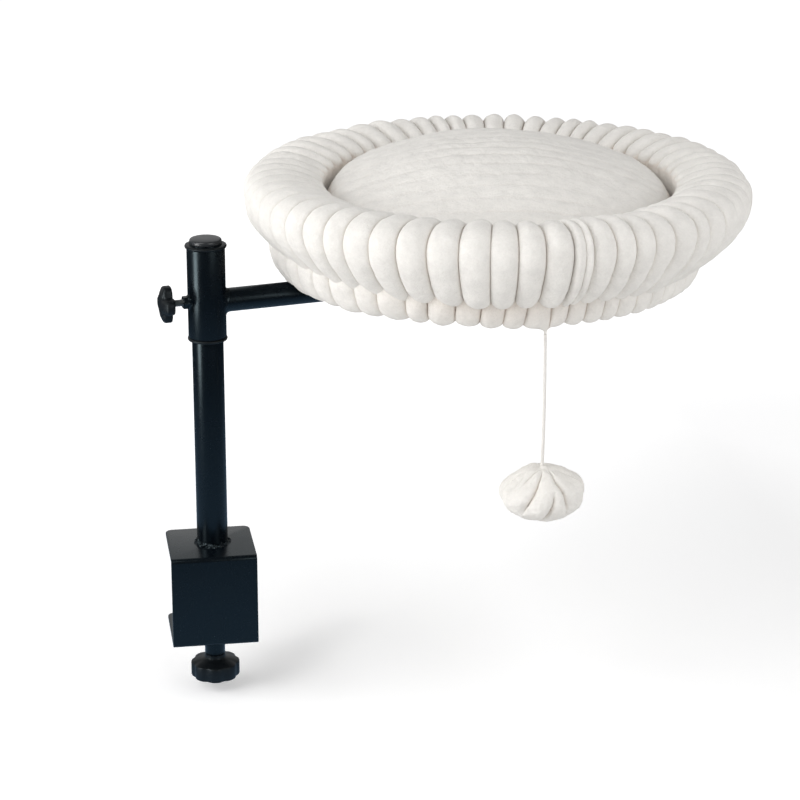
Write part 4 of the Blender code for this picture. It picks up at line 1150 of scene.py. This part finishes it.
class PERCH_OT_cushion(bpy.types.Operator):
    """Makes the domed seat cushion with its faint channels."""

    bl_idname = "perch.cushion"
    bl_label = "Seat cushion"

    def execute(self, context):
        sizes = context.scene.perch_sizes
        around = 240
        outer = CUSHION_RADIUS + 0.0012
        angles = np.arange(around) / around * math.tau
        shares = np.linspace(0.012, 1, 96) ** 0.9
        rows = []
        tilt = np.cos(angles + ARM_TURN + CUSHION_TURN - CUSHION_LEAN_TURN)
        for share in shares:
            edge_drop = 0.010 * max(0, (share - 0.90) / 0.10) ** 2.4
            dome = sizes.cushion_crown * (1 - share**2)
            lean = CUSHION_LEAN * tilt * share
            reach = outer * share * (1 - 0.010 * share**6)
            rows.append(round_points(reach, angles, CUSHION_EDGE + dome + lean - edge_drop))
        low = CUSHION_EDGE - 0.024
        side = [
            (outer - 0.0005, low - 0.004),
            (outer - 0.002, low - 0.014),
            (outer, BOARD_TOP + 0.012),
            (outer, BOARD_TOP + 0.002),
            (outer - 0.004, BOARD_TOP + 0.0004),
        ]
        rows += [round_points(reach, angles, level) for reach, level in side]
        grid = np.array(rows)
        top = grid[: len(shares)]
        # Channels that wander, are worn here and there, and fade towards the edge
        bend = noise_field(top, 7, 3) * 0.006 + noise_field(top, 24, 4) * 0.0014
        wave = np.abs(np.sin(math.pi * (top[..., 1] + bend) / sizes.channel_pitch)) ** 0.7
        share = np.hypot(top[..., 0], top[..., 1]) / outer
        fade = np.clip((1 - share) * 9, 0.30, 1)
        worn = np.clip(0.62 + noise_field(top, 15, 5) * 0.9, 0.2, 1)
        top[..., 2] -= 0.0015 * (1 - wave) * fade * worn
        top[..., 2] += (noise_field(top, 16, 7) * 0.0018 + noise_field(top, 60, 9) * 0.0009) * fade
        top[..., 2] += noise_field(top, 240, 13) * 0.0004
        cushion = from_grid("seat_cushion_domed", grid)
        # Painted shade: the channels' valleys are painted darker, and so is the cushion's side down under the ring
        value = np.zeros(grid.shape[:2])
        value[: len(shares)] = np.clip(1 - wave * 3, 0, 1) * 0.30 * fade * worn
        value[len(shares) - 4 :] = 0.6
        store_crease_shade(cushion, value)
        outwards(cushion)
        bpy.ops.object.shade_smooth()
        turn = Matrix.Rotation(ARM_TURN + CUSHION_TURN, 4, "Z")
        placed(cushion, Matrix.Translation((BED_CENTRE.x, BED_CENTRE.y, 0)) @ turn)
        dress(context, cushion, "seat_cushion_domed", "off_white_plush", "arm", ["seat_cushion"])
        return {"FINISHED"}


# Clamp


class PERCH_OT_clamp(bpy.types.Operator):
    """Makes the folded bracket, its rubber liner and its threaded boss."""

    bl_idname = "perch.clamp"
    bl_label = "Clamp bracket"

    def execute(self, context):
        sizes = context.scene.perch_sizes
        self.bracket(context, sizes)
        self.liner(context)
        self.boss(context)
        return {"FINISHED"}

    def bracket(self, context, sizes):
        """One plate: the top is drawn first, then its front edge is extruded down and back, and the folds rounded."""
        half = PLATE / 2
        width = CLAMP_HIGH.x - CLAMP_LOW.x
        middle = (CLAMP_HIGH.x + CLAMP_LOW.x) / 2
        front = CLAMP_LOW.y + half
        depth = CLAMP_HIGH.y - front
        top = CLAMP_HIGH.z - half
        low = CLAMP_LOW.z + half
        clear_selection()
        bpy.ops.mesh.primitive_plane_add(size=1, location=(middle, front + depth / 2, top))
        piece = bpy.context.object
        into_edit()
        bpy.ops.transform.resize(value=(width, depth, 1))
        placed(piece, Matrix())
        into_edit("EDGE")
        near = 0.0001
        pick_edges(piece, lambda a, b: a.y < front + near and b.y < front + near)
        bpy.ops.mesh.extrude_region_move(TRANSFORM_OT_translate={"value": (0, 0, low - top)})
        bpy.ops.mesh.extrude_region_move(TRANSFORM_OT_translate={"value": (0, depth, 0)})
        pick_edges(piece, lambda a, b: abs(a.y - front) < near and abs(b.y - front) < near and abs(a.z - b.z) < near)
        bpy.ops.mesh.bevel(offset=BEND_RADIUS - half, segments=7, affect="EDGES")
        bpy.ops.mesh.select_mode(type="VERT")
        bpy.ops.mesh.select_all(action="DESELECT")
        bpy.ops.object.mode_set(mode="OBJECT")
        for vertex in piece.data.vertices:
            vertex.select = vertex.co.y > CLAMP_HIGH.y - near
        into_edit()
        bpy.ops.mesh.bevel(offset=PLATE_CORNER, segments=8, affect="VERTICES")
        close_seams()
        bpy.ops.object.mode_set(mode="OBJECT")
        modify(piece, "SOLIDIFY", thickness=PLATE, offset=0, use_even_offset=True)
        bore(piece, SCREW_HOLE, CLAMP_LOW.z - 0.002, CLAMP_LOW.z + PLATE + 0.002)
        round_edges(piece, sizes.edge_round, 3, 50)
        smooth(piece, 30)
        dress(context, piece, "bracket_folded", "black_powder_coat", "clamp", ["clamp_bracket"])

    def liner(self, context):
        """A rubber sheet under the top plate, with grip grooves."""
        low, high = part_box("jaw_liner")
        clear_selection()
        bpy.ops.mesh.primitive_cube_add(size=1, location=(low + high) / 2, scale=high - low)
        piece = bpy.context.object
        placed(piece, Matrix())
        into_edit("EDGE")
        pick_edges(piece, lambda a, b: abs(a.z - b.z) > 0.001)
        bpy.ops.mesh.bevel(offset=0.003, segments=5, affect="EDGES")
        bpy.ops.object.mode_set(mode="OBJECT")
        pitch = 0.006
        count = int((high.y - low.y - 0.006) / pitch)
        clear_selection()
        for i in range(count):
            y = low.y + 0.006 + i * pitch
            bpy.ops.mesh.primitive_cylinder_add(
                vertices=16,
                radius=0.0009,
                depth=high.x - low.x + 0.01,
                location=((low.x + high.x) / 2, y, low.z - 0.0002),
                rotation=(0, math.radians(90), 0),
            )
            cut_away(piece, bpy.context.object)
        round_edges(piece, 0.0003, 2, 50)
        smooth(piece, 40)
        dress(context, piece, "jaw_liner_grooved", "black_rubber", "clamp", ["jaw_liner"])

    def boss(self, context):
        """The thick threaded neck under the lower plate, with its weld."""
        low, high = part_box("threaded_boss")
        inner = SCREW_HOLE
        wall = [(inner + 0.0006, low.z), (BOSS_RADIUS, low.z), (BOSS_RADIUS, high.z)]
        piece = turned(wall + [(inner, high.z), (inner, low.z + 0.0006)], closed=True, sides=72)
        round_edges(piece, 0.0006)
        smooth(piece)
        dress(context, piece, "boss_turned", "black_powder_coat", "clamp", ["threaded_boss"])
        bead = fillet(BOSS_RADIUS, 0.0016, 0.0020, on_plate, 4)
        placed(bead, Matrix.Translation((0, 0, CLAMP_LOW.z)) @ Matrix.Rotation(math.pi, 4, "X"))
        dress(context, bead, "boss_weld", "black_powder_coat", "clamp")


class PERCH_OT_clamp_screw(bpy.types.Operator):
    """Makes the pressure pad, the clamp screw and the hand knob."""

    bl_idname = "perch.clamp_screw"
    bl_label = "Clamp screw"

    def execute(self, context):
        self.pad(context)
        self.screw(context)
        self.knob(context)
        return {"FINISHED"}

    def pad(self, context):
        """A steel disc with a hub for the screw's end, and a ringed rubber face on it."""
        low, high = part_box("pressure_disc")
        hub = 0.009
        face = high.z - 0.003
        hole = SCREW_HOLE
        profile = [(0, face), (hole, face), (hole, low.z), (hub, low.z), (hub, face)]
        disc = turned(profile + [(PAD_RADIUS, face), (PAD_RADIUS, high.z), (0, high.z)])
        round_edges(disc, 0.0005)
        smooth(disc)
        dress(context, disc, "pressure_disc_turned", "black_powder_coat", "clamp_pad", ["pressure_disc"])
        low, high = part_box("pressure_pad_rubber")
        profile = [(0, low.z), (PAD_RADIUS, low.z), (PAD_RADIUS, high.z)]
        radius = PAD_RADIUS - 0.0025
        groove = ((0, 0), (0.0003, 0.0006), (0.0011, 0.0006), (0.0014, 0))
        while radius > 0.003:
            profile += [(radius - back, high.z - deep) for back, deep in groove]
            radius -= 0.0035
        profile.append((0, high.z))
        rubber = turned(profile, sides=72)
        round_edges(rubber, 0.00025, 2)
        smooth(rubber)
        dress(context, rubber, "pressure_pad_ringed", "black_rubber", "clamp_pad", ["pressure_pad_rubber"])

    def screw(self, context):
        low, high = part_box("clamp_screw")
        piece = threads(SCREW_RADIUS, THREAD_PITCH, low.z, high.z)
        dress(context, piece, "clamp_screw_threaded", "black_zinc_steel", "clamp_screw", ["clamp_screw"])

    def knob(self, context):
        """A fluted hand knob with a dished top and a collar, lofted from lobed rings."""
        low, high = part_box("hand_knob")
        radius = high.x
        collar = 0.00875
        rim = high.z - 0.007
        hole = SCREW_HOLE
        dip = 0.0014
        rows = [
            (hole, 0, high.z - 0.0018),
            (hole, 0, high.z),
            (collar - 0.0008, 0, high.z),
            (collar - 0.0002, 0, high.z - 0.0003),
            (collar, 0, high.z - 0.0010),
            (collar, 0, rim + 0.0040),
            (collar + 0.0006, 0, rim + 0.0032),
            (radius * 0.62, 0.0002, rim + 0.0022),
            (radius * 0.80, 0.0008, rim + 0.0011),
            (radius - 0.0022, 0.0012, rim + 0.0003),
            (radius - 0.0012, dip, rim),
            (radius - 0.0004, dip, rim - 0.0004),
            (radius, dip, rim - 0.0012),
            (radius, dip, low.z + 0.0014),
            (radius - 0.0004, dip, low.z + 0.0005),
            (radius - 0.0013, dip, low.z),
            (radius - 0.0030, dip, low.z),
            (radius - 0.0050, 0.0008, low.z + 0.0008),
            (radius * 0.5, 0, low.z + 0.0009),
            (0.0012, 0, low.z + 0.0009),
        ]
        piece = lobed("hand_knob_fluted", rows, 8, 160, math.radians(-4))
        outwards(piece)
        smooth(piece, 42)
        dress(context, piece, "hand_knob_fluted", "black_plastic", "clamp_screw", ["hand_knob"])


def lobed(name, rows, lobes, sides, first=0, power=2):
    """Rings of (radius, dip, height), whose radius falls by the dip between the lobes."""
    angles = np.arange(sides) / sides * math.tau
    share = ((1 - np.cos(lobes * (angles - first))) / 2) ** power
    grid = []
    for radius, dip, height in rows:
        reach = radius - dip * share
        grid.append(round_points(reach, angles, height))
    return from_grid(name, np.array(grid))


# Post, sleeve and bushes


class PERCH_OT_post(bpy.types.Operator):
    """Makes the post with its weld and its plug, and the sliding sleeve with its two bushes."""

    bl_idname = "perch.post"
    bl_label = "Post and sleeve"

    def execute(self, context):
        sizes = context.scene.perch_sizes
        self.post(context, sizes)
        self.cap(context)
        self.sleeve(context)
        self.bushes(context)
        return {"FINISHED"}

    def post(self, context, sizes):
        piece = tube(POST_RADIUS, TUBE_WALL, POST_FOOT, POST_TOP)
        round_edges(piece, 0.0004)
        smooth(piece)
        dress(context, piece, "post_tube_drawn", "black_powder_coat", "clamp", ["post_tube"])
        bead = fillet(POST_RADIUS, sizes.weld_size, sizes.weld_size * 1.5, on_plate, 1, power=0.85, lump=0.42)
        placed(bead, Matrix.Translation((0, 0, PLATE_TOP)))
        dress(context, bead, "post_weld", "black_powder_coat", "clamp")

    def cap(self, context):
        low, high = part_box("post_cap")
        radius = high.x
        seat = POST_TOP + CLEARANCE
        plug = POST_RADIUS - TUBE_WALL - CLEARANCE
        profile = [
            (0, seat),
            (plug - 0.002, seat),
            (plug - 0.002, low.z),
            (plug, low.z),
            (plug, seat),
            (radius - 0.0003, seat),
            (radius, seat + 0.0006),
            (radius, seat + 0.0026),
            (radius - 0.0003, seat + 0.0034),
            (radius - 0.0009, seat + 0.0039),
            (radius - 0.0022, seat + 0.0043),
            (radius * 0.60, seat + 0.0049),
            (radius * 0.3, high.z - 0.00005),
            (0, high.z),
        ]
        piece = turned(profile)
        smooth(piece, 34)
        dress(context, piece, "post_plug_moulded", "black_plastic", "clamp", ["post_cap"])
        piece.data.materials[0] = cap_finish()

    def sleeve(self, context):
        piece = tube(SLEEVE_RADIUS, SLEEVE_WALL, SLEEVE_FOOT, SLEEVE_TOP)
        bore(piece, 0.0033, 0, SLEEVE_RADIUS + 0.004, LOCK_FRAME @ AGAINST_ARM)
        round_edges(piece, 0.0005)
        smooth(piece)
        dress(context, piece, "sleeve_tube", "black_powder_coat", "arm", ["sleeve"])

    def bushes(self, context):
        """Flanged bushes whose rounded collars show above and below the sleeve."""
        for node, name, flip in (("upper_bush", "upper_bush_moulded", 1), ("lower_bush", "lower_bush_moulded", -1)):
            low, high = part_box(node)
            collar = high.x
            length = 0.0027
            seat = high.z - length if flip > 0 else low.z + length
            end = low.z if flip > 0 else high.z
            tip = high.z if flip > 0 else low.z
            hole = POST_RADIUS + 0.0002
            barrel = SLEEVE_RADIUS - 0.0015
            soft = 0.0011
            profile = [
                (hole, end),
                (barrel, end),
                (barrel, seat),
                (collar - soft, seat),
                (collar - soft * 0.3, seat + flip * soft * 0.3),
                (collar, seat + flip * soft),
                (collar, tip - flip * soft),
                (collar - soft * 0.3, tip - flip * soft * 0.3),
                (collar - soft, tip),
                (hole + 0.0004, tip),
                (hole, tip - flip * 0.0004),
            ]
            piece = turned(profile, closed=True)
            smooth(piece, 45)
            dress(context, piece, name, "black_plastic", "bushes", [node])


# Arm and lock


class PERCH_OT_arm(bpy.types.Operator):
    """Makes the arm tube with its weld, its end plug, and the plate, screws and cloth under the bed."""

    bl_idname = "perch.arm"
    bl_label = "Arm and support"

    def execute(self, context):
        sizes = context.scene.perch_sizes
        arm = tube(ARM_RADIUS, TUBE_WALL, TUBE_START, ARM_END, sides=80)
        round_edges(arm, 0.0004)
        smooth(arm)
        placed(arm, ARM_FRAME @ ALONG_ARM)
        dress(context, arm, "arm_tube_drawn", "black_powder_coat", "arm", ["arm_tube"])
        bead = fillet(ARM_RADIUS, sizes.weld_size * 1.4, sizes.weld_size * 1.8, on_sleeve, 2, power=1.8, lump=0.07)
        placed(bead, ARM_FRAME @ ALONG_ARM)
        dress(context, bead, "arm_weld", "black_powder_coat", "arm")
        self.plug(context)
        self.underside(context)
        return {"FINISHED"}

    def plug(self, context):
        face = ARM_END + CLEARANCE
        core = ARM_RADIUS - TUBE_WALL - CLEARANCE
        profile = [
            (0, face),
            (core - 0.002, face),
            (core - 0.002, face - 0.012),
            (core, face - 0.012),
            (core, face),
            (ARM_RADIUS - 0.0002, face),
            (ARM_RADIUS, face + 0.0003),
            (ARM_RADIUS, face + 0.0020),
            (ARM_RADIUS - 0.0004, face + 0.0027),
            (ARM_RADIUS - 0.0012, face + 0.0030),
            (0, face + 0.0030),
        ]
        piece = turned(profile, sides=72)
        smooth(piece)
        placed(piece, ARM_FRAME @ ALONG_ARM)
        dress(context, piece, "arm_plug_moulded", "black_plastic", "arm", ["arm_end_cap"])

    def underside(self, context):
        """The plate, the cloth and the board, whose solids only need their edges rounded, and four screws."""
        for node, rounding, name, slot in (
            ("support_plate", 0.0004, "support_plate_pressed", "black_powder_coat"),
            ("underside_lining", 0.0002, "lining_stapled", "lining_cloth"),
            ("bed_board", 0.0004, "board_sawn", "plywood"),
        ):
            dress(context, dressed_copy(node, rounding), name, slot, "arm", [node])
        for number in range(1, 5):
            node = f"board_screw_{number}"
            low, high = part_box(node)
            middle = (low + high) / 2
            radius = (high.x - low.x) / 2
            head = 0.0022
            profile = [(0, 0), (radius * 0.55, 0.0001), (radius * 0.85, 0.0006), (radius, 0.0014), (radius, head)]
            length = high.z - low.z
            piece = turned(profile + [(0.002, head), (0.002, length - 0.001), (0, length)], sides=48)
            for turn in (0, math.radians(90)):
                clear_selection()
                bpy.ops.mesh.primitive_cube_add(size=1, scale=(radius * 1.1, 0.0007, 0.0022), rotation=(0, 0, turn))
                cut_away(piece, bpy.context.object)
            smooth(piece, 34)
            placed(piece, Matrix.Translation((middle.x, middle.y, low.z)) @ Matrix.Rotation(number * 0.8, 4, "Z"))
            dress(context, piece, f"board_screw_{number}_crosshead", "zinc_steel", "arm", [node])


class PERCH_OT_lock(bpy.types.Operator):
    """Makes the welded nut, the lock screw and the lock knob."""

    bl_idname = "perch.lock"
    bl_label = "Lock"

    def execute(self, context):
        face = LOCK_FACE
        clear_selection()
        corner = 0.005 / math.cos(math.pi / 6)
        start = TUBE_START
        bpy.ops.mesh.primitive_cylinder_add(
            vertices=6, radius=corner, depth=face - start, location=(0, 0, (face + start) / 2)
        )
        nut = bpy.context.object
        placed(nut, Matrix())
        bore(nut, LOCK_HOLE, start - 0.002, face + 0.002)
        round_edges(nut, 0.0005, 3)
        smooth(nut, 30)
        placed(nut, LOCK_FRAME @ AGAINST_ARM)
        dress(context, nut, "lock_nut_hexagon", "black_powder_coat", "arm", ["lock_nut"])
        bead = fillet(0.0052, 0.0015, 0.0014, on_sleeve, 3, power=1.2, lump=0.2)
        placed(bead, LOCK_FRAME @ AGAINST_ARM)
        dress(context, bead, "nut_weld", "black_powder_coat", "arm")
        low = POST_RADIUS + CLEARANCE
        high = LOCK_BASE + 0.0087
        screw = threads(LOCK_SCREW_RADIUS, LOCK_SCREW_PITCH, low, high, 30)
        placed(screw, LOCK_FRAME @ AGAINST_ARM)
        dress(context, screw, "lock_screw_threaded", "black_zinc_steel", "lock_screw", ["lock_screw"])
        self.knob(context)
        return {"FINISHED"}

    def knob(self, context):
        """Four lobes on a round hub, with a flat back and a domed face."""
        base = LOCK_BASE
        back = base + 0.0028
        front = back + 0.0072
        lobe = 0.0157
        dip = 0.0052
        hole = LOCK_HOLE
        rows = [
            (hole, 0, base + 0.001),
            (hole, 0, base),
            (0.0036, 0, base),
            (0.0041, 0, base + 0.0004),
            (0.0043, 0, back - 0.0006),
            (0.0050, 0.0002, back - 0.0001),
            (0.0090, 0.0012, back),
            (lobe - 0.0014, dip * 0.95, back),
            (lobe - 0.0005, dip, back + 0.0003),
            (lobe, dip, back + 0.0010),
            (lobe, dip, front - 0.0018),
            (lobe - 0.0003, dip, front - 0.0008),
            (lobe - 0.0009, dip, front - 0.0002),
            (lobe - 0.0020, dip * 0.95, front + 0.0004),
            (lobe * 0.70, dip * 0.5, front + 0.0016),
            (lobe * 0.45, dip * 0.15, front + 0.0024),
            (lobe * 0.2, 0, front + 0.0027),
            (0.0005, 0, front + 0.0027),
        ]
        piece = lobed("lock_knob_lobed", rows, 4, 128)
        outwards(piece)
        smooth(piece, 42)
        placed(piece, LOCK_FRAME @ AGAINST_ARM)
        dress(context, piece, "lock_knob_lobed", "black_plastic", "lock_knob", ["lock_knob"])


class PERCH_PT_panel(bpy.types.Panel):
    """Lists the steps that build the cat perch."""

    bl_idname = "PERCH_PT_panel"
    bl_label = "Cat perch"
    bl_space_type = "VIEW_3D"
    bl_region_type = "UI"
    bl_category = "Cat perch"

    def draw(self, context):
        for step in STEPS:
            self.layout.operator(step.bl_idname)
        for group in (context.scene.perch_sizes, context.scene.perch_colours):
            for key in group.bl_rna.properties.keys():
                if key not in ("rna_type", "name"):
                    self.layout.prop(group, key)


STEPS = (
    PERCH_OT_stage,
    PERCH_OT_toy,
    PERCH_OT_ring,
    PERCH_OT_tier,
    PERCH_OT_cushion,
    PERCH_OT_clamp,
    PERCH_OT_clamp_screw,
    PERCH_OT_post,
    PERCH_OT_arm,
    PERCH_OT_lock,
)
CLASSES = (PerchSizes, PerchColours) + STEPS + (PERCH_PT_panel,)


def register():
    for item in CLASSES:
        bpy.utils.register_class(item)
    bpy.types.Scene.perch_sizes = bpy.props.PointerProperty(type=PerchSizes)
    bpy.types.Scene.perch_colours = bpy.props.PointerProperty(type=PerchColours)


def unregister():
    del bpy.types.Scene.perch_colours
    del bpy.types.Scene.perch_sizes
    for item in reversed(CLASSES):
        bpy.utils.unregister_class(item)


def main():
    register()
    bpy.ops.perch.stage()
    bpy.ops.perch.toy()
    bpy.ops.perch.ring()
    bpy.ops.perch.tier()
    bpy.ops.perch.cushion()
    bpy.ops.perch.clamp()
    bpy.ops.perch.clamp_screw()
    bpy.ops.perch.post()
    bpy.ops.perch.arm()
    bpy.ops.perch.lock()


if __name__ == "__main__":
    main()
